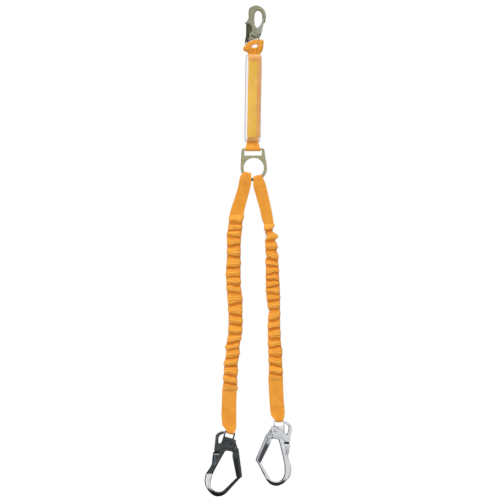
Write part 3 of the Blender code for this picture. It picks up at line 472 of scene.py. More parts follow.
# left hook: the same metals darkened as painted shade for the shaded side, with painted reflections
SHADED_ALLOY = metal("alloy_shaded_side", (0.095, 0.106, 0.108), (0.062, 0.070, 0.073), (0.30, 0.32, 0.34), 0.24,
              1.0, 0.35, bump=0.05, extra=hook_painted_reflections(*EYES["left"], True))
SHADED_SHEET = metal("sheet_shaded_side", (0.095, 0.105, 0.108), (0.060, 0.066, 0.070),
                   (0.32, 0.34, 0.36), 0.26, 1.0, 0.5, brush=(1800, 1800, 140), bump=0.08,
                   extra=side_reflection_shade("left", LEVER_REFLECTION_SHADE_LINES))
SHADED_GATE = metal("gate_shaded_side", (0.085, 0.095, 0.098), (0.055, 0.06, 0.064), (0.32, 0.34, 0.36),
                  0.26, 1.0, 0.5, brush=(1800, 1800, 140), bump=0.08,
                  extra=gate_channel_shade(*EYES["left"], (0.03, 0.034, 0.036)))
# dark brown: painted shade in the slot and slit of the harness hook, and the dark stud heads
SLOT_SHADE_AND_STUD_BROWN = metal("slot_shade_and_stud_dark", (0.06, 0.055, 0.03), (0.035, 0.03, 0.018), (0.16, 0.15, 0.10), 0.5,
              0.5, 0.3)
# black sheet standing for the shade in the slot under the lever end: painted shade
SLOT_SHADE_BLACK = metal("slot_shade_black", (0.02, 0.02, 0.022), (0.012, 0.012, 0.013), (0.10, 0.10, 0.11), 0.4,
              0.6, 0.4)
STEEL = metal("spring_steel", (0.45, 0.45, 0.45), (0.3, 0.3, 0.3), (0.7, 0.7, 0.7), 0.28, 1.0)


def gold_label():
    n = Nodes("label_gold")
    co = n.obj()
    cloud = n.noise(30.0, 3.0, 0.5, co)
    fine = n.noise(700.0, 2.0, 0.6, co)
    c = n.mix(n.ramp(cloud, 0.3, 0.7), (0.90, 0.52, 0.035), (1.0, 0.64, 0.07))
    c = n.mix(n.math("MULTIPLY", n.ramp(fine, 0.5, 0.8), 0.25), c, (1.0, 0.76, 0.18))
    n.link(c, n.b.inputs["Base Color"])
    # faint emission brightens the label under the film: painted light
    n.link(c, n.b.inputs["Emission Color"])
    n.b.inputs["Emission Strength"].default_value = 0.07
    n.b.inputs["Roughness"].default_value = 0.5
    n.bump(fine, 0.15, 0.0003)
    return n.m


def film():
    """Thin clear shrink film: see-through, glossy, milky where seen edge-on."""
    n = Nodes("clear_film")
    t = n.t
    t.nodes.remove(n.b)
    co = n.obj()
    haze = n.noise(60.0, 4.0, 0.55, co)
    lw = n.add("ShaderNodeLayerWeight")
    lw.inputs["Blend"].default_value = 0.32
    edge = n.math("POWER", lw.outputs["Facing"], 2.2)
    clear = n.add("ShaderNodeBsdfTransparent")
    clear.inputs["Color"].default_value = (0.985, 0.98, 0.985, 1)
    milky = n.add("ShaderNodeBsdfDiffuse")
    milky.inputs["Color"].default_value = (0.84, 0.77, 0.83, 1)
    gloss = n.add("ShaderNodeBsdfGlossy")
    gloss.inputs["Color"].default_value = (1, 1, 1, 1)
    gloss.inputs["Roughness"].default_value = 0.10
    bump = n.add("ShaderNodeBump")
    bump.inputs["Strength"].default_value = 0.35
    bump.inputs["Distance"].default_value = 0.0012
    n.link(haze, bump.inputs["Height"])
    n.link(bump.outputs["Normal"], gloss.inputs["Normal"])
    m1 = n.add("ShaderNodeMixShader")
    n.link(n.math("MULTIPLY_ADD", edge, 0.52, n.math("MULTIPLY", n.ramp(haze, 0.45, 0.75), 0.05),
                  clamp=True), m1.inputs[0])
    n.link(clear.outputs[0], m1.inputs[1])
    n.link(milky.outputs[0], m1.inputs[2])
    fr = n.add("ShaderNodeFresnel")
    fr.inputs["IOR"].default_value = 1.42
    m2 = n.add("ShaderNodeMixShader")
    n.link(n.math("MULTIPLY", fr.outputs[0], 0.4), m2.inputs[0])
    n.link(m1.outputs[0], m2.inputs[1])
    n.link(gloss.outputs[0], m2.inputs[2])
    n.link(m2.outputs[0], n.out.inputs["Surface"])
    return n.m


GOLD = gold_label()
FILM = film()


# ------------------------------------------------------------------ mesh helpers
def put(name, bm, mat, smooth=True, sharp=40):
    me = bpy.data.meshes.new(name)
    bmesh.ops.recalc_face_normals(bm, faces=bm.faces)
    bm.to_mesh(me)
    bm.free()
    o = bpy.data.objects.new(name, me)
    bpy.context.scene.collection.objects.link(o)
    me.materials.append(mat)
    if smooth:
        me.shade_smooth()
        if sharp:
            me.set_sharp_from_angle(angle=math.radians(sharp))
    return o


def distance(p, segs, chunk=600):
    """Distance from each point to the nearest outline segment."""
    a, b = segs[:, :2], segs[:, 2:]
    ab = b - a
    ll = np.maximum((ab * ab).sum(1), 1e-12)
    out = np.empty(len(p))
    for i in range(0, len(p), chunk):
        ap = p[i:i + chunk, None, :] - a[None]
        t = np.clip((ap * ab[None]).sum(2) / ll, 0, 1)
        q = ap - t[:, :, None] * ab[None]
        out[i:i + chunk] = np.sqrt((q * q).sum(2).min(1))
    return out


def within(p, segs):
    """Even-odd test of points against the outline segments."""
    x, y = p[:, 0][:, None], p[:, 1][:, None]
    x1, y1, x2, y2 = segs.T
    cross = (y1 > y) != (y2 > y)
    xi = x1 + (y - y1) * (x2 - x1) / np.where(y2 == y1, 1e-9, y2 - y1)
    return (np.where(cross & (x < xi), 1, 0).sum(1) % 2) == 1


def even_loop(pts, step):
    """Closed outline with long edges divided."""
    out = []
    pts = [p for i, p in enumerate(pts) if math.dist(p, pts[i - 1]) > 0.02]
    for i, p in enumerate(pts):
        q = pts[(i + 1) % len(pts)]
        k = max(1, int(math.ceil(math.dist(p, q) / step)))
        out += [(p[0] + (q[0] - p[0]) * j / k, p[1] + (q[1] - p[1]) * j / k) for j in range(k)]
    return np.array(out)


def plate(name, outlines, half, mat, place, bevel=1.0, segs=3, shift=0.0, cuts=(), bulge=0.0):
    """Solid from outlines in local mm, laid in the XZ plane by place(), with round edges
    whose depth follows the distance to the outline."""
    r = min(bevel, half - 0.05) if bevel else 0.0
    loops = [even_loop(pts, 1.6 if bevel else 1e9) for pts in outlines]
    seg = np.concatenate([np.hstack([q, np.roll(q, -1, 0)]) for q in loops])
    pts = np.concatenate(loops)
    edges, k = [], 0
    for q in loops:
        edges += [(k + i, k + (i + 1) % len(q)) for i in range(len(q))]
        k += len(q)
    cand = []
    if bevel:
        rings = [r * (1 - math.cos(math.radians(90.0 * i / segs))) for i in range(1, segs + 1)]
        rings += [r * 1.22 + 0.15]
        for q in loops:
            d1 = q - np.roll(q, 1, 0)
            d2 = np.roll(q, -1, 0) - q
            n1 = np.stack([-d1[:, 1], d1[:, 0]], 1) / np.linalg.norm(d1, axis=1)[:, None]
            n2 = np.stack([-d2[:, 1], d2[:, 0]], 1) / np.linalg.norm(d2, axis=1)[:, None]
            nn = n1 + n2
            ln = np.maximum(np.linalg.norm(nn, axis=1), 0.3)
            nn = nn / ln[:, None] * (2.0 / ln)[:, None]
            for sgn in (1, -1):
                for o in rings:
                    c = q + nn * o * sgn
                    ok = within(c, seg)
                    dd = distance(c, seg)
                    cand.append(c[ok & (dd > o * 0.93) & (dd < o * 1.1)])
        lo, hi = pts.min(0), pts.max(0)
        gx, gy = np.meshgrid(np.arange(lo[0], hi[0], 2.6), np.arange(lo[1], hi[1], 2.6))
        g = np.stack([gx.ravel(), gy.ravel()], 1)
        g = g[within(g, seg)]
        cand.append(g[distance(g, seg) > r * 1.3 + 0.9])
        cand = np.concatenate(cand)
        keep = np.round(cand / 0.12).astype(int)
        _, idx = np.unique(keep, axis=0, return_index=True)
        pts = np.concatenate([pts, cand[np.sort(idx)]])
    v2, _, tri, *_ = delaunay_2d_cdt([Vector(p) for p in pts], edges, [], 0, 1e-5, False)
    v2 = np.array([tuple(v) for v in v2])
    tri = np.array([tuple(t) for t in tri])
    tri = tri[within(v2[tri].mean(1), seg)]
    dist = distance(v2, seg)
    t = np.clip(dist / r, 0, 1) if r else np.ones(len(v2))
    h = half - r + r * np.sqrt(np.maximum(0, 1 - (1 - t) ** 2))
    if bulge:
        h = h - bulge + bulge * np.clip(dist / (dist.max() + 1e-9), 0, 1) ** 0.6
    used = np.unique(tri)
    xz = [place((float(x), float(y))) for x, y in v2]
    bm = bmesh.new()
    top = {int(i): bm.verts.new((xz[i][0] * MM, (shift - h[i]) * MM, xz[i][1] * MM)) for i in used}
    bot = {int(i): bm.verts.new((xz[i][0] * MM, (shift + h[i]) * MM, xz[i][1] * MM)) for i in used}
    count = {}
    for f in tri:
        a, b, c = (int(i) for i in f)
        bm.faces.new((top[a], top[b], top[c]))
        bm.faces.new((bot[c], bot[b], bot[a]))
        for e in ((a, b), (b, c), (c, a)):
            count.setdefault(tuple(sorted(e)), []).append(e)
    for e in count.values():
        if len(e) == 1:
            a, b = e[0]
            bm.faces.new((top[b], top[a], bot[a], bot[b]))
    bmesh.ops.recalc_face_normals(bm, faces=bm.faces)
    me = bpy.data.meshes.new(name)
    bm.to_mesh(me)
    bm.free()
    o = bpy.data.objects.new(name, me)
    bpy.context.scene.collection.objects.link(o)
    me.materials.append(mat)
    for i, c in enumerate(cuts):
        m = o.modifiers.new("c%d" % i, "BOOLEAN")
        m.object = c
        m.operation = "DIFFERENCE"
        m.solver = "EXACT"
    return o


def bake(o, cuts=(), sharp=34, even=True):
    """Applies the modifiers and drops the cutters."""
    dg = bpy.context.evaluated_depsgraph_get()
    me = bpy.data.meshes.new_from_object(o.evaluated_get(dg))
    o.modifiers.clear()
    old = o.data
    o.data = me
    bpy.data.meshes.remove(old)
    me.shade_smooth()
    me.set_sharp_from_angle(angle=math.radians(sharp))
    if even:
        w = o.modifiers.new("w", "WEIGHTED_NORMAL")
        w.keep_sharp = True
        w.weight = 100
    for c in cuts:
        bpy.data.objects.remove(c, do_unlink=True)
    return o


def drill(r, at_xz, y0=-30.0, y1=30.0, n=48):
    bm = bmesh.new()
    bmesh.ops.create_cone(bm, cap_ends=True, segments=n, radius1=r * MM, radius2=r * MM,
                          depth=abs(y1 - y0) * MM)
    bmesh.ops.rotate(bm, verts=bm.verts, matrix=Matrix.Rotation(math.pi / 2, 3, "X"))
    bmesh.ops.translate(bm, verts=bm.verts,
                        vec=(at_xz[0] * MM, 0.5 * (y0 + y1) * MM, at_xz[1] * MM))
    return put("drill", bm, STEEL)


def ribbon(name, path, left, right, thick, world, mat, nu=16, gather=None, s0=0.0, caps=True,
           wavy=0.0, seed=0):
    """Webbing swept along a path in (v, y); left(v), right(v) are its edges in u."""
    pts = [Vector(p) for p in path]
    n = len(pts)
    rng = random.Random(seed)
    bm = bmesh.new()
    uvl = bm.loops.layers.uv.new("UVMap")
    rows, uvs = [], []
    s = s0
    for i, p in enumerate(pts):
        if i:
            s += (p - pts[i - 1]).length
        tan = (pts[min(i + 1, n - 1)] - pts[max(i - 1, 0)])
        if tan.length < 1e-9:
            tan = Vector((1, 0))
        tan.normalize()
        nrm = Vector((-tan.y, tan.x))
        le, ri = left(p.x), right(p.x)
        mid, hw = 0.5 * (le + ri), 0.5 * (ri - le)
        g = gather(p.x) if gather else (0.0, 0.0)
        ring, ruv = [], []
        for side in (1, -1):
            for j in range(nu + 1):
                q = j / nu * 2 - 1
                q = math.sin(q * math.pi / 2)
                if side < 0:
                    q = -q
                u = mid + q * hw
                d = (1 - abs(q)) * hw
                h = thick / 2 * math.sqrt(max(0.0, 1 - max(0.0, 1 - d / (thick * 0.45)) ** 2))
                h *= 1 + 0.05 * math.cos(q * math.pi * 3)
                wob = 0.0
                if g[0]:
                    wob = g[0] * math.sin(q * g[1] + 0.7) * (1 - 0.2 * abs(q))
                if wavy:
                    wob += wavy * noise.noise(Vector((u * 0.03, s * 0.02, seed * 3.1)))
                off = side * h + wob
                x, y, z = world(u, p.x + nrm.x * off, p.y + nrm.y * off)
                ring.append(bm.verts.new((x * MM, y * MM, z * MM)))
                ruv.append((u * MM + (0.5 if side < 0 else 0.0), s * MM))
        rows.append(ring)
        uvs.append(ruv)
    m = len(rows[0])
    for i in range(n - 1):
        for j in range(m):
            k = (j + 1) % m
            f = bm.faces.new((rows[i][j], rows[i][k], rows[i + 1][k], rows[i + 1][j]))
            for l, t in zip(f.loops, ((i, j), (i, k), (i + 1, k), (i + 1, j))):
                l[uvl].uv = uvs[t[0]][t[1]]
    if caps:
        bm.faces.new(rows[0])
        bm.faces.new(rows[-1][::-1])
    return put(name, bm, mat, sharp=60)


def stitches(name, places, mat, length=3.2, width=0.95, high=0.55):
    """Each place is (centre xyz mm, direction xyz, normal xyz): one thread stitch."""
    bm = bmesh.new()
    uvl = bm.loops.layers.uv.new("UVMap")
    for c, d, nn in places:
        c, d, nn = Vector(c), Vector(d).normalized(), Vector(nn).normalized()
        b = d.cross(nn).normalized()
        rings = []
        for k, (t, w) in enumerate(((-0.5, 0.25), (-0.36, 0.8), (0.0, 1.0), (0.36, 0.8),
                                    (0.5, 0.25))):
            ring = []
            for q in range(6):
                a = q * math.pi / 3
                p = (c + d * (t * length) + b * (math.cos(a) * w * width / 2)
                     + nn * (math.sin(a) * w * high / 2 + (0.18 if abs(t) < 0.4 else -0.15)))
                ring.append(bm.verts.new(p * MM))
            rings.append(ring)
        for r0, r1 in zip(rings, rings[1:]):
            for q in range(6):
                f = bm.faces.new((r0[q], r0[(q + 1) % 6], r1[(q + 1) % 6], r1[q]))
                for l in f.loops:
                    l[uvl].uv = (l.vert.co.x, l.vert.co.z)
        bm.faces.new(rings[0][::-1])
        bm.faces.new(rings[-1])
    return put(name, bm, mat, sharp=None)


def smooth_rows(rows, steps):
    """Catmull-Rom through rows of numbers."""
    p = np.array(rows, float)
    p = np.vstack([2 * p[0] - p[1], p, 2 * p[-1] - p[-2]])
    out = []
    for i in range(1, len(p) - 2):
        a, b, c, d = p[i - 1:i + 3]
        for s in range(steps):
            t = s / steps
            out.append(0.5 * ((2 * b) + (c - a) * t + (2 * a - 5 * b + 4 * c - d) * t * t
                              + (3 * b - a - 3 * c + d) * t ** 3))
    out.append(p[-2])
    return np.array(out)


def across(m):
    """Stations over a width, -1 to 1, closer together at the selvedges."""
    return np.sin(np.linspace(-math.pi / 2, math.pi / 2, m))


def sheet(name, P, thick, mat, v0=0.0, ridge=0.05):
    """Woven band of real thickness from a mid-surface grid P[along, across] in mm."""
    P = np.asarray(P, float)
    n, m, _ = P.shape
    nv = np.cross(np.gradient(P, axis=1), np.gradient(P, axis=0))
    nv /= np.linalg.norm(nv, axis=2, keepdims=True) + 1e-12
    u = np.zeros((n, m))
    u[:, 1:] = np.cumsum(np.linalg.norm(np.diff(P, axis=1), axis=2), axis=1)
    v = np.zeros((n, m))
    v[1:] = np.cumsum(np.linalg.norm(np.diff(P, axis=0), axis=2), axis=0)
    v = np.repeat(v.mean(axis=1, keepdims=True), m, axis=1) + v0
    w = u[:, -1:]
    d = np.minimum(u, w - u)
    e = np.clip(1 - d / (thick * 0.45), 0, 1)
    h = thick / 2 * np.sqrt(np.clip(1 - e * e, 0, 1))
    h = h * (1 + ridge * np.cos(d / 2.6 * 2 * math.pi) * (d < 5.2))
    u = u - w / 2
    top, bot = P + nv * h[..., None], P - nv * h[..., None]
    bm = bmesh.new()
    uvl = bm.loops.layers.uv.new("UVMap")
    rows, uvs = [], []
    for i in range(n):
        ring = [bm.verts.new(top[i, j] * MM) for j in range(m)]
        ring += [bm.verts.new(bot[i, j] * MM) for j in range(m - 2, 0, -1)]
        uv = [(u[i, j] * MM, v[i, j] * MM) for j in range(m)]
        uv += [(u[i, j] * MM, v[i, j] * MM) for j in range(m - 2, 0, -1)]
        rows.append(ring)
        uvs.append(uv)
    k = len(rows[0])
    for i in range(n - 1):
        for j in range(k):
            q = (j + 1) % k
            f = bm.faces.new((rows[i][j], rows[i][q], rows[i + 1][q], rows[i + 1][j]))
            for l, (a, b) in zip(f.loops, ((i, j), (i, q), (i + 1, q), (i + 1, j))):
                l[uvl].uv = uvs[a][b]
    for i in (0, n - 1):
        r = rows[i]
        for j in range(m - 1):
            lo0, lo1 = r[(k - j) % k], r[(k - j - 1) % k]
            face = [r[j], r[j + 1]]
            if j + 1 < m - 1:
                face.append(lo1)
            if j > 0:
                face.append(lo0)
            if len(face) >= 3:
                f = bm.faces.new(face)
                for l in f.loops:
                    l[uvl].uv = (l.vert.co.x, l.vert.co.y)
    return put(name, bm, mat, sharp=70)


def wob(x, y, z, s):
    return noise.noise(Vector((x * s, y * s, z * s)))


def local_table(points, origin, tilt):
    """World outline points as (v, u) in a frame, sorted along v."""
    out = []
    for p in points:
        q = turn((p[0] - origin[0], p[1] - origin[1]), -tilt)
        out.append((q[1], q[0]))
    return sorted(out)


def strap(name, origin, tilt, path, left, right, thick, mat, m=27, fold=None, soft=0.25, seed=0):
    """Band following path (v, y) in a tilted frame, its edges given as (v, u) tables."""
    pts = np.array(path, float)
    seg = np.concatenate([[0], np.cumsum(np.hypot(*np.diff(pts, axis=0).T))])
    n = max(8, int(seg[-1] / 1.5))
    s = np.linspace(0, seg[-1], n)
    vv, yy = np.interp(s, seg, pts[:, 0]), np.interp(s, seg, pts[:, 1])
    k = np.array([1, 2, 3, 2, 1], float) / 9
    for _ in range(2):
        vv = np.concatenate([vv[:2], np.convolve(vv, k, "valid"), vv[-2:]])
        yy = np.concatenate([yy[:2], np.convolve(yy, k, "valid"), yy[-2:]])
    le = np.array([lerp_table(left, v) for v in vv])
    ri = np.array([lerp_table(right, v) for v in vv])
    for _ in range(4):
        for a in (le, ri):
            a[2:-2] = np.convolve(a, k, "valid")
    tv, ty = np.gradient(vv), np.gradient(yy)
    ln = np.hypot(tv, ty) + 1e-9
    nv, ny = -ty / ln, tv / ln
    q = across(m)
    P = np.zeros((n, m, 3))
    for i in range(n):
        for j in range(m):
            u = 0.5 * (le[i] + ri[i]) + 0.5 * (ri[i] - le[i]) * q[j]
            o = soft * wob(u, s[i] * 0.6, seed * 17.0, 0.06)
            if fold:
                o += fold(vv[i], q[j], yy[i])
            x, z = turn((u, vv[i] + nv[i] * o), tilt)
            P[i, j] = (origin[0] + x, yy[i] + ny[i] * o, origin[1] + z)
    return sheet(name, P, thick, mat)


def turned(name, prof, at_xz, mat, steps=40):
    """Profile (radius, y) spun about Y."""
    bm = bmesh.new()
    rings = []
    for r, y in prof:
        if r < 1e-6:
            rings.append([bm.verts.new((at_xz[0] * MM, y * MM, at_xz[1] * MM))])
        else:
            rings.append([bm.verts.new(((at_xz[0] + r * math.cos(2 * math.pi * i / steps)) * MM,
                                        y * MM,
                                        (at_xz[1] + r * math.sin(2 * math.pi * i / steps)) * MM))
                          for i in range(steps)])
    for a, b in zip(rings, rings[1:]):
        for i in range(steps):
            j = (i + 1) % steps
            if len(a) == 1:
                bm.faces.new((a[0], b[i], b[j]))
            elif len(b) == 1:
                bm.faces.new((a[i], b[0], a[j]))
            else:
                bm.faces.new((a[i], b[i], b[j], a[j]))
    return put(name, bm, mat, sharp=32)


def rivet(name, shaft, head, y_in, y_out, at_xz, mat):
    h = y_out - y_in
    half = [(0.0, y_out - 0.35), (head * 0.28, y_out - 0.3), (head * 0.34, y_out),
            (head * 0.6, y_out - 0.02), (head * 0.84, y_out - h * 0.22),
            (head * 0.97, y_out - h * 0.55), (head, y_in), (shaft, y_in)]
    return turned(name, half + [(r, -y) for r, y in half[::-1]], at_xz, mat)


def shown(o, body, *nodes):
    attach(o, body)
    if nodes:
        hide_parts(*nodes)
    return o


def room(name, outline, half, place, shift=0.0):
    return plate(name, [outline], half, STEEL, place, bevel=0, shift=shift)


def same(p):
    return p


# ------------------------------------------------------------------ harness snap hook
HARNESS_EYE, TILT = (-14.7, -102.3), 20.4
HGP, HLP = (3.5, -74.0), (-34.0, -94.5)
H, SHEET, GAP = 5.5, 1.8, 0.3
EU, EV = turn((1.0, 0.0), TILT), turn((0.0, 1.0), TILT)


def eye(u, v):
    return along(HARNESS_EYE, EU, EV, u, v)


body_outline = (
    flow([(18.3, -36.6), (21.5, -38.6), (24.0, -35.8), (25.6, -27.0), (26.3, -15.4),
          (21.6, 0.4), (9.5, 12.0), (-3.8, 16.3), (-17.5, 13.2), (-27.2, 4.6),
          (-29.2, -9.0), (-28.8, -23.0), (-33.0, -32.5), (-40.0, -39.2)], 7)
    + [(-39.8, -41.8), (-37.2, -43.2), (-29.0, -44.4), (-28.2, -70.0), (-28.8, -84.0)]
    + arc(HLP, 6.6, 95, 190, 14)
    + [(-41.0, -100.0)]
    + flow([eye(-25.2, 8.0), eye(-25.0, 2.0), eye(-22.6, -2.2), eye(-18.0, -2.8)], 5)
    + flow([eye(16.5, -2.8), eye(21.0, -2.2), eye(23.2, 1.0), eye(23.4, 8.0)], 5)
    + [(6.6, -85.4)]
    + arc(HGP, 7.6, -68, 62, 18)
    + flow([(2.0, -61.0), (-1.5, -56.6), (-6.0, -52.0), (-9.4, -45.0), (-10.5, -34.9),
            (-10.3, -20.0), (-8.6, -9.0), (-3.5, 0.0)], 7)
    + flow([(3.5, 0.0), (9.0, -3.4), (12.8, -9.5), (14.4, -16.0), (14.8, -21.4)], 7)
    + [(16.9, -23.0), (17.4, -29.0)]
)
cuts = [room("k", [eye(-21.0, 2.8), eye(-21.0, 7.6), eye(-19.6, 9.2), eye(17.0, 9.2),
                   eye(18.4, 7.6), eye(18.4, 2.8)], 12, same)]
for s in (-1, 1):
    cuts.append(room("k", [eye(-34.0, -9.0), eye(-34.0, 7.0), eye(-26.0, 11.5), eye(27.0, 11.5),
                           eye(27.0, -9.0)], 3.0, same, s * 5.8))
for pin in (HGP, HLP):
    cuts.append(drill(2.5, pin))
o = plate("harness_hook_body_v", [body_outline], H, ZINC, same, bevel=2.3, segs=4, cuts=cuts)
shown(bake(o, cuts), "harness_hook", "harness_hook_body")

gate_outline = flow([(14.6, -23.6), (14.4, -31.0), (12.6, -39.0), (8.6, -46.8), (1.0, -54.4),
                     (-4.2, -62.0), (-5.4, -72.0), (-3.0, -79.4), (3.5, -82.4), (8.6, -80.8),
                     (12.2, -71.0), (15.2, -58.0), (17.8, -45.0), (19.6, -38.0), (20.4, -31.0),
                     (19.4, -23.6)], 7)
gate_room = [(16.4, -10.0), (16.4, -31.5), (14.6, -39.6), (10.6, -47.0), (7.0, -50.6),
             (-2.0, -45.0), (-14.0, -58.0), (-12.0, -95.0), (30.0, -95.0), (34.0, -10.0)]
cuts = [room("k", gate_room, H + GAP, same), drill(2.5, HGP)]
for s in (-1, 1):
    # pressed stiffening channel down each cheek
    cuts.append(room("k", loop([(4.6, -63.0), (8.4, -56.0), (13.6, -45.0), (16.6, -37.0),
                                (17.6, -37.6), (15.4, -46.0), (11.4, -57.0), (7.4, -65.0)], 5),
                     1.0, same, s * (H + GAP + SHEET - 0.45 + 1.0)))
o = plate("harness_gate_v", [gate_outline], H + GAP + SHEET, ZINC_PALE, same, bevel=0.8, segs=3,
          cuts=cuts)
shown(bake(o, cuts), "harness_gate_leaf", "harness_gate")

lock_outline = (
    flow([(-24.6, -44.8), (-20.2, -50.0), (-18.6, -58.0), (-19.6, -66.0), (-25.0, -71.0),
          (-29.2, -76.0), (-29.4, -86.0)], 5)
    + arc(HLP, 5.6, 30, -205, 26)
    + [(-38.4, -87.0), (-37.4, -80.0), (-37.2, -48.0), (-36.2, -45.2)]
)
cuts = [room("k", [(-35.4, -38.0), (-35.4, -87.6), (-46.0, -90.0), (-46.0, -110.0),
                   (-10.0, -110.0), (-10.0, -38.0)], H + GAP, same), drill(2.5, HLP)]
grip = loop([(-33.4, -50.4), (-25.4, -49.8), (-22.6, -54.0), (-22.8, -62.0), (-27.6, -66.0),
             (-33.4, -64.6)], 6)
for s in (-1, 1):
    cuts.append(room("k", grip, 1.0, same, s * (H + GAP + SHEET - 0.9 + 1.0)))
    cuts.append(room("k", [(-36.0, -70.0), (-32.6, -70.0), (-32.2, -86.0), (-35.4, -86.0)], 1.0, same,
                     s * (H + GAP + SHEET - 0.9 + 1.0)))
# dark plates laid proud of the hook body: painted shade in the slot and in the slit
for tag, body, pts, mat, half in (
        ("slot", "harness_hook", [(251.0, 35.1), (253.4, 36.0), (256.2, 37.0), (256.0, 37.8),
                                  (253.0, 37.3), (250.9, 36.0)], SLOT_SHADE_AND_STUD_BROWN, H + 0.15),
        ("slit", "harness_hook", [(247.8, 33.0), (249.3, 33.2), (249.4, 38.4), (248.2, 38.6)],
         SLOT_SHADE_AND_STUD_BROWN, 1.6)):
    o = plate("harness_%s" % tag, [[at(*q) for q in pts]], half, mat, same, bevel=0)
    shown(bake(o), body)
for k, (spot, r, body, half) in enumerate((((263.8, 17.6), 1.5, "harness_hook", H + 0.25),
                                           ((264.5, 21.3), 1.5, "harness_hook", H + 0.25),
                                           ((259.9, 34.7), 2.6, "harness_hook", H + SHEET + 1.2))):
    o = plate("harness_stud_%d" % k, [arc(at(*spot), r, 0, 345, 24)], half, SLOT_SHADE_AND_STUD_BROWN, same,
              bevel=0.5, segs=3)
    shown(bake(o), body)
o = plate("harness_lock_lever_v", [lock_outline], H + GAP + SHEET, ZINC_DARK, same,
          bevel=0.7, segs=3, cuts=cuts)
shown(bake(o, cuts), "harness_lock_arm", "harness_lock_lever")
for pin, what in ((HGP, "gate"), (HLP, "lock")):
    shown(rivet("harness_%s_rivet_v" % what, 2.15, 4.2, H + SHEET + 2 * GAP, H + SHEET + 2.0, pin,
                ZINC_PALE if what == "gate" else ZINC_DARK), "harness_hook",
          "harness_%s_rivet" % what)

# ------------------------------------------------------------------ ring
RB, RH, RHR = at(253.2, 149.3), at(253.85, 168.0), 10.15 * G
ring_outline = (
    flow([at(243.0, 148.3), at(242.0, 149.4), at(241.5, 152.0), at(241.2, 156.0),
          at(240.8, 163.0), at(240.65, 168.5)], 5)[:-1]
    + arc(RH, 13.2 * G, 182, 352, 64)
    + flow([at(267.1, 168.4), at(266.6, 163.6), at(265.6, 158.6), at(264.9, 153.0),
            at(264.3, 149.8), at(263.3, 148.3)], 5)
)
ring_outline = [(x, min(z, RB[1] + 2.75)) for x, z in ring_outline]
slot = []
for c, a in (((261.4, 150.64), 0), ((244.8, 150.64), 90), ((244.8, 155.1), 180),
             ((261.4, 155.1), 270)):
    slot += arc(at(*c), 1.4, a, a + 90, 7)
o = plate("leg_ring_v", [ring_outline, slot, arc(RH, RHR, 0, 356, 89)], 2.5, ZINC_RING, same,
          bevel=0.9, segs=3)
shown(bake(o), "ring", "leg_ring")

# ------------------------------------------------------------------ scaffold hooks
S = 6.0
GP, LP = (-33.3, -53.4), (-12.8, -32.3)
gd = Vector((-32.7, -75.6)).normalized()
gn = Vector((-gd.y, gd.x))


def gate_at(w, o):
    return along(GP, gd, gn, w, o)


hook_outline = (
    flow([(-17.3, -19.0), (-17.3, -3.0), (-14.8, 1.2), (-9.0, 3.0)], 6)
    + flow([(9.0, 3.0), (14.8, 1.2), (17.3, -3.0), (17.3, -19.0)], 6)
    + flow([(17.6, -30.0), (18.4, -46.0), (20.0, -62.0), (24.0, -73.0)], 5)
    + [(34.4, -75.4)]
    + flow([(34.8, -80.0), (32.6, -97.0), (29.6, -112.0), (31.2, -124.0), (35.6, -138.0),
            (39.2, -151.0), (38.6, -166.0), (33.6, -181.0), (24.0, -193.4), (9.0, -204.6),
            (-8.3, -209.9), (-25.0, -205.6), (-35.6, -196.6), (-42.6, -186.4), (-55.6, -161.0),
            (-67.6, -137.6)], 7)
    + [gate_at(84.6, -8.6), gate_at(80.0, -8.6), gate_at(75.5, -6.4), gate_at(75.0, 5.2),
       gate_at(84.8, 6.2), gate_at(86.2, 8.8)]
    + flow([(-57.6, -137.4), (-45.0, -159.6), (-31.4, -182.6), (-24.0, -190.8),
            (-15.0, -195.2)], 7)
    + flow([(-5.0, -195.2), (4.0, -192.6), (11.6, -186.0), (16.8, -174.0), (18.0, -160.0),
            (17.4, -143.4), (14.8, -128.0), (8.0, -98.0), (0.4, -68.0), (-1.4, -62.6),
            (-6.4, -60.2), (-20.0, -58.6)], 7)
    + arc(GP, 9.4, -70, -241, 24)
    + [(-25.0, -38.0), (-21.0, -27.0)]
)
lever_outline = (
    [(-25.6, -21.4), (-22.6, -20.2), (-11.2, -20.8), (12.5, -35.5)]
    + flow([(21.0, -44.0), (25.4, -45.6), (28.6, -38.0), (30.8, -26.0), (28.4, -17.6),
            (23.4, -12.6), (18.2, -9.4)], 6)
    + flow([(18.2, -3.6), (25.0, -5.0), (33.2, -10.6), (39.8, -18.4), (41.3, -26.0),
            (39.2, -37.0), (37.4, -48.0), (35.4, -62.0), (34.4, -68.4)], 6)
    + [(20.5, -68.4)]
    + flow([(17.6, -62.0), (10.0, -56.0), (0.0, -52.6), (-12.0, -50.4), (-20.0, -46.0),
            (-23.0, -38.0), (-25.8, -28.0)], 5)
)
lever_room = (
    [(-60.0, -27.2), (-27.6, -24.6), (-21.4, -23.2), (-15.0, -10.0), (10.0, 10.0), (15.6, 6.0),
     (15.6, -6.6)]
    + flow([(18.9, -6.6), (24.4, -8.2), (31.2, -12.8), (36.9, -19.6), (38.4, -26.0),
            (36.4, -37.4), (34.6, -48.4), (32.6, -62.0), (31.6, -76.0)], 5)
    + [(-60.0, -76.0)]
)
big_gate = (
    [gate_at(83.6, 9.2), gate_at(50.0, 11.0), gate_at(16.0, 13.0)]
    + flow([gate_at(10.0, 12.0), gate_at(3.0, 10.4), gate_at(-9.0, 9.2), (-19.6, -33.0)], 5)
    + arc(GP, 29.4, 64, 73, 5)
    + flow([(-29.6, -33.0), (-36.4, -43.0), gate_at(-4.0, -9.4), gate_at(6.0, -9.6)], 5)
    + [gate_at(50.0, -9.4), gate_at(79.6, -9.2), gate_at(83.0, -6.6)]
)
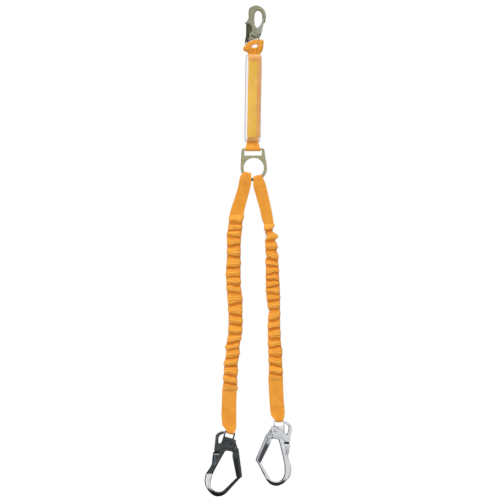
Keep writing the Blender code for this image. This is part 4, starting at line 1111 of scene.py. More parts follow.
big_room = [gate_at(130.0, 7.4), gate_at(84.2, 7.4), gate_at(50.0, 9.2), gate_at(22.0, 10.8),
            gate_at(20.0, 30.0), gate_at(-60.0, 40.0), gate_at(-60.0, -50.0),
            gate_at(130.0, -50.0)]
SIDES = {
    "left": dict(eye=at(230.2, 432.0), tilt=-15.5, m=-1, body=SHADED_ALLOY, sheet=SHADED_SHEET,
                 gate=SHADED_GATE),
    "right": dict(eye=at(279.0, 420.2), tilt=0.0, m=1, body=BRIGHT, sheet=BRIGHT_SHEET,
                  gate=BRIGHT_GATE),
}
for side, d in SIDES.items():
    def place(p, d=d):
        q = turn((p[0] * d["m"], p[1]), d["tilt"])
        return (d["eye"][0] + q[0], d["eye"][1] + q[1])

    d["place"] = place
    hole = []
    for c, a in (((10.8, -4.8), 0), ((-10.8, -4.8), 90), ((-10.8, -16.6), 180),
                 ((10.8, -16.6), 270)):
        hole += arc(c, 1.8, a, a + 90, 6)
    cuts = [room("k", hole, 12, place), drill(2.8, place(GP)), drill(2.8, place(LP))]
    for s in (-1, 1):
        cuts.append(room("k", [(-24, -17.2), (-24, 9), (24, 9), (24, -17.2)], 3.0, place,
                         s * 6.0))
        cuts.append(room("k", loop([(18.6, -84.0), (28.6, -84.0), (27.6, -96.0), (25.2, -109.0),
                                    (21.0, -110.0), (19.6, -99.0)], 6), 3.0, place,
                         s * (S - 1.6 + 3.0)))
    o = plate(side + "_hook_body_v", [hook_outline], S, d["body"], place, bevel=3.4, segs=6,
              cuts=cuts)
    shown(bake(o, cuts), side + "_scaffold_hook", side + "_hook_body")

    cuts = [room("k", big_room, S + GAP, place), drill(2.8, place(GP))]
    for s in (-1, 1):
        cuts.append(room("k", [gate_at(12.0, -4.6), gate_at(74.0, -3.6), gate_at(76.0, -1.0),
                               gate_at(74.0, 1.6), gate_at(12.0, 2.6), gate_at(9.5, -1.0)],
                         1.0, place, s * (S + GAP + SHEET - 0.5 + 1.0)))
    o = plate(side + "_gate_v", [big_gate], S + GAP + SHEET, d["gate"], place, bevel=0.8,
              segs=3, cuts=cuts)
    shown(bake(o, cuts), side + "_gate_leaf", side + "_gate")

    # dark sheets on the lever end, painted shade for the slot between lever and spine, sliding over the faces of the
    # spine
    for t in (-1, 1):
        o = plate("%s_lever_slot_shade_%s" % (side, "fb"[t > 0]),
                  [[(16.4, -74.9), (32.4, -74.9), (32.8, -68.8), (16.6, -68.8)]], 0.5, SLOT_SHADE_BLACK,
                  place, bevel=0.3, segs=2, shift=t * (S + 1.15))
        shown(bake(o), side + "_lock_arm")

    inner = S + 2 * GAP + SHEET
    cuts = [room("k", lever_room, inner, place), drill(2.8, place(LP))]
    o = plate(side + "_lock_lever_v", [lever_outline], inner + SHEET, d["sheet"], place,
              bevel=0.8, segs=3, cuts=cuts)
    shown(bake(o, cuts), side + "_lock_arm", side + "_lock_lever")
    shown(rivet(side + "_gate_rivet_v", 2.4, 4.6, inner, inner + 1.5, place(GP), d["sheet"]),
          side + "_scaffold_hook", side + "_gate_rivet")
    shown(rivet(side + "_lock_rivet_v", 2.4, 4.4, inner + SHEET + GAP, inner + SHEET + 1.6,
                place(LP), d["sheet"]), side + "_scaffold_hook", side + "_lock_rivet")


# ------------------------------------------------------------------ sewn loops
def table(points):
    return sorted(points)


def bight_path(v_end, ply, near, bar, drop=0.0, steps=18):
    """Front tail, round the bar (tail towards -v, bar at drop), back tail."""
    a = [(v_end, -ply)] + [(v, -y) for v, y in near]
    b = [(v, y) for v, y in near[::-1]] + [(v_end, ply)]
    mid = [(drop + bar * math.sin(math.radians(t)), -bar * math.cos(math.radians(t)))
           for t in np.linspace(0, 180, steps)]
    return a + mid + b


# upper leg webbing, straddling the rim of the ring
UPPER = {
    "left": dict(bight=(248.1, 172.9), lean=-11.0, end=217.5,
                 left=[(244.9, 168.0), (244.5, 171.0), (242.5, 173.4), (240.4, 175.6),
                       (239.3, 180.0), (238.3, 186.0), (236.3, 193.0), (233.3, 202.0),
                       (231.0, 209.0), (229.6, 214.0), (228.6, 222.0)],
                 right=[(251.0, 168.0), (251.2, 173.0), (251.5, 178.0), (251.2, 184.0),
                        (249.3, 192.0), (246.6, 202.0), (244.4, 210.0), (243.0, 218.0),
                        (242.6, 224.0)], tack=189.8),
    "right": dict(bight=(257.6, 175.7), lean=11.8, end=226.4,
                  left=[(254.4, 170.0), (254.1, 175.0), (253.4, 179.0), (253.1, 184.0),
                        (253.6, 188.0), (255.1, 193.0), (257.7, 202.0), (260.2, 211.0),
                        (261.8, 219.0), (263.4, 223.0), (265.6, 228.0)],
                  right=[(260.6, 170.0), (261.6, 175.4), (263.4, 178.6), (265.6, 183.5),
                         (267.0, 189.5), (269.6, 201.0), (272.2, 213.0), (273.6, 222.0),
                         (274.4, 232.0)], tack=191.8),
}
for side, d in UPPER.items():
    o0 = at(*d["bight"])
    lt = local_table([at(*p) for p in d["left"]], o0, d["lean"])
    rt = local_table([at(*p) for p in d["right"]], o0, d["lean"])
    mid = at(0.5 * (d["left"][-2][0] + d["right"][-2][0]), d["end"])
    v_end = turn((mid[0] - o0[0], mid[1] - o0[1]), -d["lean"])[1]
    near = [(-60.0, 1.42), (-46.0, 1.45), (-38.0, 2.2), (-30.0, 3.7), (-22.0, 4.45),
            (-10.0, 4.5)]
    path = bight_path(v_end, 1.42, near, 4.4, -3.2)

    def fold(v, q, y, side=side):
        near_ring = max(0.0, min(1.0, (v + 46.0) / 30.0))
        sign = 1 if side == "left" else -1
        crease = 0.55 * math.sin(q * 5.2 + sign * (0.6 + v * 0.05)) * near_ring
        return crease

    o = strap(side + "_upper_webbing_v", o0, d["lean"], path, lt, rt, 2.5, ORANGE, fold=fold,
              seed=3 if side == "left" else 5)
    shown(o, side + "_leg", side + "_upper_webbing")
    # bar tacks that close the loop, sewn through both plies
    spots = []
    tv = turn((0.0, at(0, d["tack"])[1] - o0[1]), -d["lean"])[1]
    for row, dv in enumerate((0.0, -3.4)):
        le, ri = lerp_table(lt, tv + dv), lerp_table(rt, tv + dv)
        k = 11
        for i in range(k):
            u = le + (ri - le) * (0.10 + 0.80 * i / (k - 1))
            x, z = turn((u, tv + dv), d["lean"])
            dx, dz = turn((1.0, 0.32 if (i + row) % 2 else -0.32), d["lean"])
            for s in (-1, 1):
                spots.append(((o0[0] + x, s * 2.62, o0[1] + z), (dx, 0, dz), (0, s, 0)))
    for s in (-1, 1):
        for edge in (0.12, 0.88):
            for i in range(6):
                v = tv - 3.4 - 2.4 - i * 4.4
                le, ri = lerp_table(lt, v), lerp_table(rt, v)
                x, z = turn((le + (ri - le) * edge, v), d["lean"])
                dx, dz = turn((0.0, 1.0), d["lean"])
                spots.append(((o0[0] + x, s * 2.62, o0[1] + z), (dx, 0, dz), (0, s, 0)))
    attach(stitches(side + "_upper_stitching", spots, THREAD, length=3.3), side + "_leg")

# lower leg webbing, round the eye bar of the scaffold hook
LOWER = {
    "left": dict(left=[(223.0, 384.0), (222.2, 390.0), (221.9, 400.0), (221.3, 414.0),
                       (222.0, 423.0), (222.3, 426.4), (223.2, 428.8), (224.5, 430.6),
                       (226.0, 432.4), (227.2, 434.4)],
                 right=[(237.0, 384.0), (236.9, 390.0), (236.4, 400.0), (236.3, 412.0),
                        (236.3, 423.0), (236.5, 426.0), (236.1, 428.6), (235.2, 431.0),
                        (234.2, 433.2), (233.4, 435.4)], start=386.5, tack=417.5,
                 ),
    "right": dict(left=[(268.2, 374.0), (268.4, 380.0), (268.9, 390.0), (269.5, 402.0),
                        (270.4, 412.5), (271.3, 416.4), (272.6, 419.0), (274.4, 421.2),
                        (275.5, 423.4)],
                  right=[(283.0, 374.0), (283.0, 380.0), (283.3, 390.0), (283.9, 402.0),
                         (284.8, 411.5), (284.5, 416.2), (283.8, 418.6), (283.0, 420.8),
                         (282.2, 423.4)], start=376.0, tack=407.5,
                  ),
}
CLEAR = [(-12.0, 10.6), (-6.2, 11.0), (0.5, 11.3), (2.5, 13.4), (4.0, 15.4), (6.0, 16.4),
         (9.0, 20.5), (12.0, 30.0), (13.0, 90.0)]
for side, d in LOWER.items():
    h = SIDES[side]
    o0, tilt = h["eye"], h["tilt"]
    lt = local_table([at(*p) for p in d["left"]], o0, tilt)
    rt = local_table([at(*p) for p in d["right"]], o0, tilt)
    # near the eye bar the strap stays clear of the lever as the hook swings
    lt = [(v, lerp_table(lt, v)) for v in range(-9, 14)] + [q for q in lt if q[0] > 13.5]
    rt = [(v, lerp_table(rt, v)) for v in range(-9, 14)] + [q for q in rt if q[0] > 13.5]
    lt = [(-12.0, -9.8)] + [(v, max(u, -lerp_table(CLEAR, v))) for v, u in lt]
    rt = [(-12.0, 9.8)] + [(v, min(u, lerp_table(CLEAR, v))) for v, u in rt]
    mid = at(0.5 * (d["left"][1][0] + d["right"][1][0]), d["start"])
    v_end = turn((mid[0] - o0[0], mid[1] - o0[1]), -tilt)[1]
    near = [(40.0, 1.42), (28.0, 1.45), (20.0, 2.7), (12.0, 4.7), (5.0, 5.8)]
    path = [(v_end, -1.42)] + [(v, -y) for v, y in near]
    path += [(-5.9 * math.sin(math.radians(t)), -5.9 * math.cos(math.radians(t)))
             for t in np.linspace(0, 180, 20)]
    path += [(v, y) for v, y in near[::-1]] + [(v_end, 1.42)]

    def fold(v, q, y):
        k = max(0.0, min(1.0, (24.0 - v) / 20.0))
        return 0.45 * k * math.cos(q * 6.0)

    o = strap(side + "_lower_webbing_v", o0, tilt, path, lt, rt, 2.5, ORANGE, fold=fold,
              seed=9 if side == "left" else 12)
    shown(o, side + "_leg_end", side + "_lower_webbing")
    spots = []
    tx = at(0.5 * (d["left"][3][0] + d["right"][3][0]), d["tack"])
    tv = turn((tx[0] - o0[0], tx[1] - o0[1]), -tilt)[1]
    for row, dv in enumerate((0.0, 3.4)):
        le, ri = lerp_table(lt, tv + dv), lerp_table(rt, tv + dv)
        k = 12
        for i in range(k):
            u = le + (ri - le) * (0.10 + 0.80 * i / (k - 1))
            x, z = turn((u, tv + dv), tilt)
            dx, dz = turn((1.0, 0.32 if (i + row) % 2 else -0.32), tilt)
            for s in (-1, 1):
                spots.append(((o0[0] + x, s * 2.62, o0[1] + z), (dx, 0, dz), (0, s, 0)))
    for s in (-1, 1):
        for edge in (0.12, 0.88):
            for i in range(7):
                v = tv + 3.4 + 2.4 + i * 4.4
                le, ri = lerp_table(lt, v), lerp_table(rt, v)
                x, z = turn((le + (ri - le) * edge, v), tilt)
                dx, dz = turn((0.0, 1.0), tilt)
                spots.append(((o0[0] + x, s * 2.62, o0[1] + z), (dx, 0, dz), (0, s, 0)))
    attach(stitches(side + "_lower_stitching", spots, THREAD, length=3.3), side + "_leg_end")

# neck loop round the slot bar of the ring
near = [(24.0, 1.5), (18.0, 1.6), (12.0, 3.4), (5.0, 5.3)]
path = [(31.5, -1.45)] + [(v, -y) for v, y in near]
path += [(-5.5 * math.sin(math.radians(t)), -5.5 * math.cos(math.radians(t)))
         for t in np.linspace(0, 180, 20)]
path += [(v, y) for v, y in near[::-1]] + [(31.5, 1.45)]


def neck_fold(v, q, y):
    k = math.exp(-((v - 13.5) / 4.0) ** 2)
    return -1.1 * k + 0.5 * math.sin(q * 7.0 + v * 0.2) * k


lt = local_table([at(245.0, 154.0), at(244.9, 149.6), at(245.3, 147.6), at(246.2, 145.4),
                  at(246.5, 143.6), at(246.9, 141.6), at(247.2, 138.0)], RB, 0)
rt = local_table([at(260.4, 154.0), at(260.6, 149.6), at(260.0, 147.6), at(259.0, 145.4),
                  at(258.7, 143.6), at(258.3, 141.6), at(258.0, 138.0)], RB, 0)
shown(strap("neck_webbing_loop_v", RB, 0.0, path, lt, rt, 2.5, ORANGE, fold=neck_fold, seed=21),
      "absorber", "neck_webbing_loop")


# ------------------------------------------------------------------ top loop
def limb(rows, sgn, seed, m=25, crease=0.7, steps=7):
    """One ply of a bunched limb: rows are (Lx, Lz, Rx, Rz, half depth)."""
    r = smooth_rows(rows, steps)
    q = across(m)
    P = np.zeros((len(r), m, 3))
    for i, (lx, lz, rx, rz, hd) in enumerate(r):
        w = math.hypot(rx - lx, rz - lz)
        for j, t in enumerate(q):
            c = crease * (0.55 * math.sin(t * 6.5 + seed + i * 0.05)
                          + 0.45 * math.sin(t * 11.0 - seed * 2.0 + i * 0.09))
            c += 1.1 * wob(lx + w * t, lz, seed * 9.0, 0.09)
            g = (t - 0.12 * seed + 0.25 - 0.35 * math.sin(i * 0.055 + seed)) / 0.13
            c -= 2.1 * math.exp(-g * g) * min(1.0, max(0.0, (hd - 3.4) / 3.0))
            c *= (1 - abs(t) ** 4) * min(1.0, hd / 4.0)
            y = sgn * (1.3 + max(0.0, hd - 2.6) * (1 - abs(t) ** 2.6) + c)
            P[i, j] = (lx + (rx - lx) * (t + 1) / 2, y, lz + (rz - lz) * (t + 1) / 2)
    return P


left_limb = [(-29.2, -156.0, -8.0, -156.0, 2.8), (-30.0, -146.0, -7.0, -146.0, 3.4),
             (-31.6, -137.0, -7.0, -137.0, 4.6), (-35.5, -131.0, -6.0, -127.6, 6.6),
             (-43.0, -128.6, -9.4, -120.6, 8.6), (-46.4, -122.4, -17.6, -118.0, 9.0),
             (-43.4, -115.2, -20.6, -112.6, 8.4), (-36.8, -110.8, -17.0, -106.8, 7.4),
             (-33.0, -108.6, -9.6, -104.0, 6.8)]
right_limb = [(-13.0, -156.0, 5.8, -156.0, 2.8), (-13.0, -146.0, 6.2, -146.0, 3.4),
              (-14.4, -137.0, 8.4, -137.4, 4.6), (-14.8, -127.6, 13.4, -130.6, 6.6),
              (-10.6, -120.2, 16.8, -121.0, 8.4), (-2.6, -118.0, 17.6, -111.0, 8.8),
              (0.2, -112.8, 18.6, -102.6, 8.6), (-3.0, -107.0, 18.2, -96.4, 8.0),
              (-9.6, -104.0, 12.0, -92.6, 6.8)]
for name, rows, seed in (("left", left_limb, 1.3), ("right", right_limb, 4.1)):
    for s, ply in ((-1, "front"), (1, "back")):
        o = sheet("top_loop_%s_%s" % (name, ply), limb(rows, s, seed + (0.8 if s > 0 else 0), crease=1.25),
                  2.4, ORANGE)
        if name == "left" and ply == "front":
            shown(o, "absorber", "top_webbing_loop")
        else:
            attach(o, "absorber")
# the two plies close round the bar through the eye of the snap hook
path = [(-7.0, -6.2), (-5.0, -6.1), (-3.0, -5.8)]
path += [(2.1 + 5.2 * math.sin(math.radians(t)), -5.2 * math.cos(math.radians(t)))
         for t in np.linspace(0, 180, 20)]
path += [(-3.0, 5.8), (-5.0, 6.1), (-7.0, 6.2)]
o = strap("top_loop_bar_wrap", HARNESS_EYE, TILT, path,
          [(-12.0, -20.4), (-4.0, -19.4), (0.0, -18.8), (6.0, -18.4)],
          [(-12.0, 20.4), (-4.0, 17.2), (0.0, 15.9), (6.0, 15.3)], 2.3, ORANGE,
          fold=lambda v, q, y: 0.18 * math.sin(q * 9.0 + v * 0.3), seed=31)
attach(o, "absorber")

# ------------------------------------------------------------------ energy absorber
PT, PE = at(0, 61.4)[1], at(0, 137.0)[1]
px = at(253.3, 0)[0]
path = []
ys = (-7.65, -2.55, 2.55, 7.65)
top, bot = PT - 2.7, PE + 2.7
path = [(bot, ys[0])]
for k in range(3):
    up = k % 2 == 0
    edge = top - 0.3 if up else bot + 0.3
    path.append((edge, ys[k]))
    for t in np.linspace(0, 180, 9)[1:-1]:
        y = (ys[k] + ys[k + 1]) / 2 - 2.55 * math.cos(math.radians(t))
        v = edge + (2.55 if up else -2.55) * math.sin(math.radians(t))
        path.append((v, y))
    path.append((edge, ys[k + 1]))
path.append((bot, ys[3]))
width = PACK_HALF = 20.8
o = strap("tear_webbing_pack_v", (at(255.9, 0)[0], 0.0), -1.055, path, [(-500, -width), (0, -width)],
          [(-500, width), (0, width)], 4.2, TEAR, m=23,
          fold=lambda v, q, y: 0.12 * math.cos(q * 8.0), soft=0.35, seed=41)
shown(o, "absorber", "tear_webbing_pack")
# sewn tails of the two loops, laid on the pack below the label
for tag, (r0, r1), (w0, w1) in (("upper", (54.9, 61.9), (20.0, 20.6)),
                                ("lower", (136.4, 141.2), (18.6, 18.0))):
    n, m = 26, 21
    P = np.zeros((n, m, 3))
    for i in range(n):
        t = i / (n - 1)
        row = r0 + (r1 - r0) * t
        x0, z0 = at(254.6 if tag == "upper" else 253.3, row)
        depth = 5.0 + 4.2 * math.sin(math.pi * min(1.0, t * 0.9 + 0.05)) if tag == "upper" else \
            9.0 - 4.2 * t
        for j, q in enumerate(across(m)):
            w = w0 + (w1 - w0) * t
            P[i, j] = (x0 + w * q, -depth * (1 - 0.35 * abs(q) ** 3)
                       + 0.7 * wob(w * q, z0, 5.0, 0.1), z0)
    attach(sheet("pack_tail_%s" % tag, P, 2.2, TEAR), "absorber")
# label: thin printed cloth, blank
n, m = 90, 24
P = np.zeros((n, m, 3))
c0, c1, r0, r1 = 248.2, 257.1, 61.6, 137.6
for i in range(n):
    t = i / (n - 1)
    for j, q in enumerate(across(m)):
        row = r0 + (r1 - r0) * t
        shift = -1.25 * (t - 0.28) - 0.15 * math.sin(t * 3.1)
        col = (c0 + c1) / 2 + shift + (c1 - c0) / 2 * q
        x, z = at(col, row)
        P[i, j] = (x, -10.75 + 0.35 * q * q + 0.35 * wob(x, z, 0.0, 0.035), z)
o = sheet("gold_label_v", P, 0.5, GOLD, ridge=0.0)
shown(o, "absorber", "gold_label")

# clear cover: thin film with shrunk, puckered ends
rows = [(54.8, 23.0, 5.2), (55.4, 24.2, 8.0), (56.6, 25.4, 11.6), (58.6, 26.0, 13.4),
        (62.0, 26.3, 14.2), (80.0, 26.2, 14.5), (98.0, 26.2, 14.7), (118.0, 26.2, 14.4),
        (134.0, 26.2, 14.0), (137.6, 25.9, 13.2), (139.6, 25.2, 11.8), (141.2, 23.8, 8.4),
        (142.2, 22.6, 5.4)]
r = smooth_rows(rows, 9)
seg = 96
bm = bmesh.new()
rings = []
for row, hw, hd in r:
    mid = 253.75 - 1.3 * (row - 57.0) / 83.0
    x0, z0 = at(mid, row)
    end = max(0.0, 1 - (row - 54.8) / 7.0, 1 - (142.2 - row) / 6.0)
    ring = []
    for i in range(seg):
        a = 2 * math.pi * (i + 0.5) / seg
        c, s = math.cos(a), math.sin(a)
        k = (abs(c) ** 3.4 + abs(s) ** 3.4) ** (-1 / 3.4)
        dent = 0.5 * wob(hw * c, hd * s, z0 * 0.4, 0.05) + 0.32 * wob(hw * c, hd * s, z0, 0.16)
        pucker = 0.55 * end * math.sin(a * 17 + 1.3 * math.sin(a * 3)) * (1 if end > 0 else 0)
        x = (hw + dent * 0.6 + pucker * 0.5) * c * k
        y = (hd + dent + pucker) * s * k
        ring.append(bm.verts.new(((x0 + x) * MM, y * MM, z0 * MM)))
    rings.append(ring)
for a, b in zip(rings, rings[1:]):
    for i in range(seg):
        j = (i + 1) % seg
        bm.faces.new((a[i], a[j], b[j], b[i]))
o = put("clear_cover_v", bm, FILM, sharp=None)
s = o.modifiers.new("s", "SOLIDIFY")
s.thickness = 0.35 * MM
s.offset = -1
bake(o, sharp=80, even=False)
shown(o, "absorber", "clear_cover")

# ------------------------------------------------------------------ gathered sleeves
SLEEVES = {
    "left": dict(top=215.0, low=390.3, tl=(229.3, 243.3), bl=(222.3, 236.9), seed=3,
                 valleys=[223.6, 231.0, 237.0, 246.0, 257.0, 268.5, 277.5, 285.0, 293.0, 304.5,
                          315.0, 325.0, 334.0, 343.0, 349.5, 358.0, 366.5, 375.5, 383.5],
                 left=[(215, 229.6), (222, 229.0), (228, 228.2), (236, 227.1), (250, 227.4),
                       (262, 227.0), (268, 226.2), (276, 226.2), (290, 227.0), (300, 227.8),
                       (312, 228.6), (324, 229.0), (334, 228.4), (340, 227.2), (346, 226.0),
                       (356, 226.0), (360, 224.8), (368, 224.0), (380, 223.8), (390.3, 222.4)],
                 right=[(215, 244.2), (222, 242.3), (230, 241.8), (240, 240.5), (262, 240.4),
                        (286, 240.5), (292, 241.4), (300, 242.2), (332, 242.3), (338, 240.8),
                        (348, 239.4), (356, 239.2), (362, 237.8), (372, 237.0), (384, 237.3),
                        (390.3, 237.2)]),
    "right": dict(top=224.4, low=379.8, tl=(262.8, 274.9), bl=(268.5, 283.1), seed=8,
                  valleys=[231.5, 241.0, 250.0, 260.0, 267.0, 274.0, 280.5, 287.0, 294.0, 301.0,
                           309.5, 320.5, 329.0, 339.0, 347.0, 356.5, 365.5, 374.5],
                  left=[(224, 263.4), (226, 264.6), (229, 264.2), (233, 265.0), (235.5, 266.8),
                        (238, 265.8), (241, 264.6), (245, 266.2), (249, 265.0), (253, 265.4),
                        (256, 266.6), (259, 265.4), (262, 265.6), (290, 265.8), (300, 266.6), (306, 267.8),
                        (311, 269.0), (316, 268.0), (330, 267.7), (350, 268.1), (364, 268.8),
                        (380, 268.5)],
                  right=[(224, 275.0), (226, 274.8), (229, 272.6), (232, 272.9), (235, 277.0),
                         (237, 277.8), (240, 275.6), (244, 277.4), (247, 278.3), (250, 276.9),
                         (256, 278.2), (276, 279.2), (290, 280.1), (310, 280.2),
                         (336, 280.5), (344, 281.3), (350, 282.1), (364, 282.3), (376, 283.0),
                         (380, 283.1)]),
}
SEG = 88
# the pleats are deepest near the ring on the right leg, near the hook on the left
STRONG = {"left": ([200, 325, 340, 400], [0.7, 0.7, 2.0, 2.0]),
          "right": ([200, 255, 272, 400], [1.7, 1.7, 0.7, 0.8])}
for side, d in SLEEVES.items():
    rng = random.Random(d["seed"])
    v = d["valleys"]
    nv = len(v)
    slant = [rng.uniform(0.5, 1.7) * rng.choice((-1, 1)) for _ in v]
    depth = [rng.uniform(0.72, 1.2) for _ in v]
    zig = [(rng.uniform(0.4, 1.0)) * (1 if i % 2 else -1) for i in range(nv + 1)]
    bulge = [rng.uniform(0.75, 1.2) for _ in range(nv + 1)]
    ph = [rng.uniform(0, 6.28) for _ in range(nv + 1)]
    n = int((d["low"] - d["top"]) * 3.0)
    rings, uvs, tone = [], [], []
    bm = bmesh.new()
    uvl = bm.loops.layers.uv.new("UVMap")
    vs = 0.0
    last = None
    for i in range(n + 1):
        row0 = d["top"] + (d["low"] - d["top"]) * i / n
        le, ri = lerp_table(d["left"], row0), lerp_table(d["right"], row0)
        x0, z0 = at((le + ri) / 2, row0)
        hw0 = (ri - le) / 2 * G
        strong = float(np.interp(row0, *STRONG[side]))
        fade = min(1.0, (row0 - d["top"]) / 5.0, (d["low"] - row0) / 5.0)
        fade = max(0.0, fade) ** 0.7
        ring, ruv = [], []
        for j in range(SEG):
            a = 2 * math.pi * j / SEG
            c, s = math.cos(a), math.sin(a)
            # local row: pleat lines lean and waver round the tube
            lean = float(np.interp(row0, v, slant)) * c
            back = 0.8 * math.sin(row0 * 0.7 + d["seed"]) if s > 0 else 0.0
            waver = 1.0 * wob(c * 11.0, s * 9.0 + d["seed"], row0 * 1.1, 0.12)
            row = row0 + (lean + waver + back) * fade
            k = sum(1 for q in v if q < row)
            lo = v[k - 1] if k > 0 else d["top"] - 3.0
            hi = v[k] if k < nv else d["low"] + 3.0
            t = (row - lo) / (hi - lo)
            dep = depth[max(0, k - 1)] if t < 0.5 else depth[min(k, nv - 1)]
            puff = abs(math.sin(math.pi * t))
            full = puff ** 1.0
            # secondary wrinkles run with the pleat, pucker gathers across it
            w2 = 2.0 * math.pi * row / 2.7 + ph[k] + 2.4 * wob(c * 12, s * 12, row, 0.14)
            wrinkle = 0.62 * math.sin(w2) * min(1.0, full * 1.4)
            pucker = 0.42 * math.sin(a * 21 + ph[k] * 0.0 + 2.2 * wob(c * 9, s * 9, row * 0.6, 0.2)) \
                * (1 - full)
            noise_r = 0.9 * wob(c * 14, s * 14 + 40.0, row * 2.2, 0.09)
            lift = (full * bulge[k] - 1.0) * 4.9 * (dep if full < 0.5 else 1.0)
            dr = (lift + wrinkle + pucker + noise_r) * fade
            out = ((1.4 + 0.9 * strong) * full - 1.0 - 0.7 * strong + 0.3 * wrinkle + 2.1 * zig[k] * c * (full - 0.45)
                   * strong) * fade
            hd = 3.4 + 7.7 * fade
            kq = (abs(c) ** 2.6 + abs(s) ** 2.6) ** (-1 / 2.6)
            x = (hw0 + out) * c * kq
            y = min(13.6, max(3.2, hd + dr)) * s * kq
            # sag of each puff over the valley below it
            z = z0 - 1.0 * fade * (full - 0.5) * abs(s) + 0.7 * fade * zig[k] * c * puff
            vert = bm.verts.new(((x0 + x) * MM, y * MM, z * MM))
            ring.append(vert)
            # how deep in a valley each point lies: drives the painted valley shade and crest highlight
            tone.append(max(0.0, min(1.0, (1 - full) * fade * (0.8 + 0.3 * dep)
                                     - 0.10 * wrinkle * fade + 0.1)))
            ruv.append((j / SEG * 0.092, 0.0))
        if last is not None:
            vs += sum((ring[q].co - last[q].co).length for q in range(0, SEG, 7)) / len(
                range(0, SEG, 7))
        last = ring
        uvs.append([(u, vs) for u, _ in ruv])
        rings.append(ring)
    for i in range(n):
        for j in range(SEG):
            q = (j + 1) % SEG
            f = bm.faces.new((rings[i][j], rings[i][q], rings[i + 1][q], rings[i + 1][j]))
            for l, (aa, b) in zip(f.loops, ((i, j), (i, j + 1), (i + 1, j + 1), (i + 1, j))):
                l[uvl].uv = (b / SEG * 0.092, uvs[aa][0][1])
    o = put(side + "_gathered_sleeve_v", bm, SLEEVE, sharp=None)
    # the painted shade amount is stored as the fold attribute
    o.data.attributes.new("fold", "FLOAT", "POINT").data.foreach_set("value", tone)
    s = o.modifiers.new("s", "SOLIDIFY")
    s.thickness = 1.1 * MM
    s.offset = -1
    bake(o, sharp=85, even=False)
    d["ends"] = (at((d["tl"][0] + d["tl"][1]) / 2, d["top"] + 2.0),
                 at((d["bl"][0] + d["bl"][1]) / 2, d["low"] - 2.0))
    # elastic core inside
    (tx, tz), (lx, lz) = d["ends"]
    nn, m = 120, 15
    P = np.zeros((nn, m, 3))
    for i in range(nn):
        t = i / (nn - 1)
        for j, q in enumerate(across(m)):
            P[i, j] = (tx + (lx - tx) * t + 12.6 * q, 0.5 * wob(q * 12, t * 300, 1.0, 0.1),
                       tz + (lz - tz) * t)
    core = sheet(side + "_elastic_core_v", P, 4.6, ELASTIC)
    for piece, node in ((o, "gathered_sleeve"), (core, "elastic_core")):
        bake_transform(piece)
        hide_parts(side + "_" + node)

# ------------------------------------------------------------------ carried-over nodes
for name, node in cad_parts.items():
    if not node.hide_render:
        node.data.materials.clear()
        node.data.materials.append(STEEL)
        node.data.shade_smooth()
        node.data.set_sharp_from_angle(angle=math.radians(50))


# ------------------------------------------------------------------ stage, light, camera
def quad(name, corners, mat):
    bm = bmesh.new()
    bm.faces.new([bm.verts.new(c) for c in corners])
    return put(name, bm, mat, smooth=False)


fl = Nodes("floor_pale")
fl.b.inputs["Base Color"].default_value = (0.93, 0.93, 0.93, 1)
fl.b.inputs["Roughness"].default_value = 0.7
floor = quad("floor", [(-0.62, -0.17, -1.965), (0.58, -0.17, -1.965), (0.58, 0.17, -1.965),
                       (-0.62, 0.17, -1.965)], fl.m)

world = bpy.data.worlds.new("studio")
bpy.context.scene.world = world
world.use_nodes = True
wt = world.node_tree
wt.nodes.clear()


def wn(kind):
    return wt.nodes.new(kind)


out = wn("ShaderNodeOutputWorld")
tc = wn("ShaderNodeTexCoord")
sep = wn("ShaderNodeSeparateXYZ")
wt.links.new(tc.outputs["Generated"], sep.inputs[0])


def wr(sock, stops):
    r = wn("ShaderNodeValToRGB")
    r.color_ramp.interpolation = "EASE"
    while len(r.color_ramp.elements) < len(stops):
        r.color_ramp.elements.new(0.5)
    for e, (p, c) in zip(r.color_ramp.elements, stops):
        e.position = p
        e.color = (c, c, c, 1)
    mp = wn("ShaderNodeMapRange")
    mp.inputs[1].default_value = -1
    mp.inputs[2].default_value = 1
    wt.links.new(sock, mp.inputs[0])
    wt.links.new(mp.outputs[0], r.inputs[0])
    return r.outputs[0]


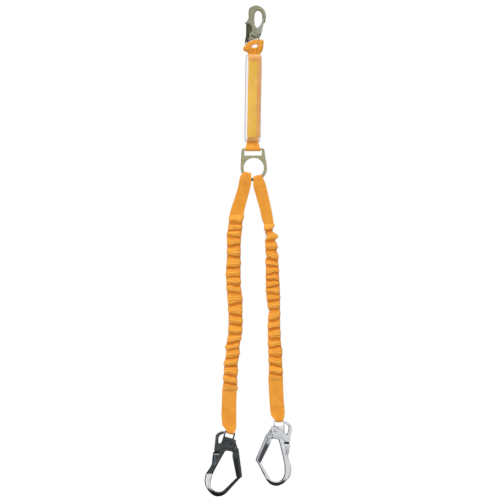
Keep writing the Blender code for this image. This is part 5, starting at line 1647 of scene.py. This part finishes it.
vert = wr(sep.outputs[2], [(0.0, 0.03), (0.22, 0.03), (0.33, 0.55), (0.5, 0.95), (1.0, 1.0)])
hori = wr(sep.outputs[0], [(0.0, 0.06), (0.06, 0.02), (0.26, 0.03), (0.36, 0.85), (0.5, 1.0),
                           (0.78, 1.0), (0.88, 0.30), (0.95, 0.45), (1.0, 0.6)])
mul = wn("ShaderNodeMix")
mul.data_type = "RGBA"
mul.blend_type = "MULTIPLY"
mul.inputs[0].default_value = 1.0
wt.links.new(vert, mul.inputs[6])
wt.links.new(hori, mul.inputs[7])
gl = wn("ShaderNodeBackground")
gl.inputs[1].default_value = 1.0
wt.links.new(mul.outputs[2], gl.inputs[0])
df = wn("ShaderNodeBackground")
df.inputs[0].default_value = (1, 1, 1, 1)
df.inputs[1].default_value = 0.58
cam_bg = wn("ShaderNodeBackground")
cam_bg.inputs[0].default_value = (1, 1, 1, 1)
cam_bg.inputs[1].default_value = 1.0
lp = wn("ShaderNodeLightPath")
m1, m2 = wn("ShaderNodeMixShader"), wn("ShaderNodeMixShader")
wt.links.new(lp.outputs["Is Glossy Ray"], m1.inputs[0])
wt.links.new(df.outputs[0], m1.inputs[1])
wt.links.new(gl.outputs[0], m1.inputs[2])
wt.links.new(lp.outputs["Is Camera Ray"], m2.inputs[0])
wt.links.new(m1.outputs[0], m2.inputs[1])
wt.links.new(cam_bg.outputs[0], m2.inputs[2])
wt.links.new(m2.outputs[0], out.inputs[0])


def area(name, loc, target, size, power, colour=(1, 1, 1)):
    li = bpy.data.lights.new(name, "AREA")
    li.energy = power
    li.size = size
    li.color = colour
    ob = bpy.data.objects.new(name, li)
    ob.location = loc
    ob.rotation_euler = (Vector(target) - Vector(loc)).to_track_quat("-Z", "Y").to_euler()
    bpy.context.scene.collection.objects.link(ob)
    return ob


sun = bpy.data.lights.new("key", "SUN")
sun.energy = 2.05
sun.angle = math.radians(24)
so = bpy.data.objects.new("key", sun)
so.rotation_euler = Vector((0.30, 0.62, -0.78)).to_track_quat("-Z", "Y").to_euler()
so.visible_glossy = False
bpy.context.scene.collection.objects.link(so)
area("fill", (1.5, -1.9, -0.6), (0, 0, -0.8), 1.6, 4).visible_glossy = False
area("rim", (0.2, 1.2, 0.8), (0, 0, -0.7), 1.2, 6).visible_glossy = False

bpy.context.scene.view_settings.view_transform = "Standard"
cam = bpy.data.cameras.new("camera")
cam.lens = 100
cam.sensor_width = 36
co = bpy.data.objects.new("camera", cam)
co.location = (-0.0246, -4.444, -0.7658)
co.rotation_euler = (math.pi / 2, 0, 0)
bpy.context.scene.collection.objects.link(co)
bpy.context.scene.camera = co
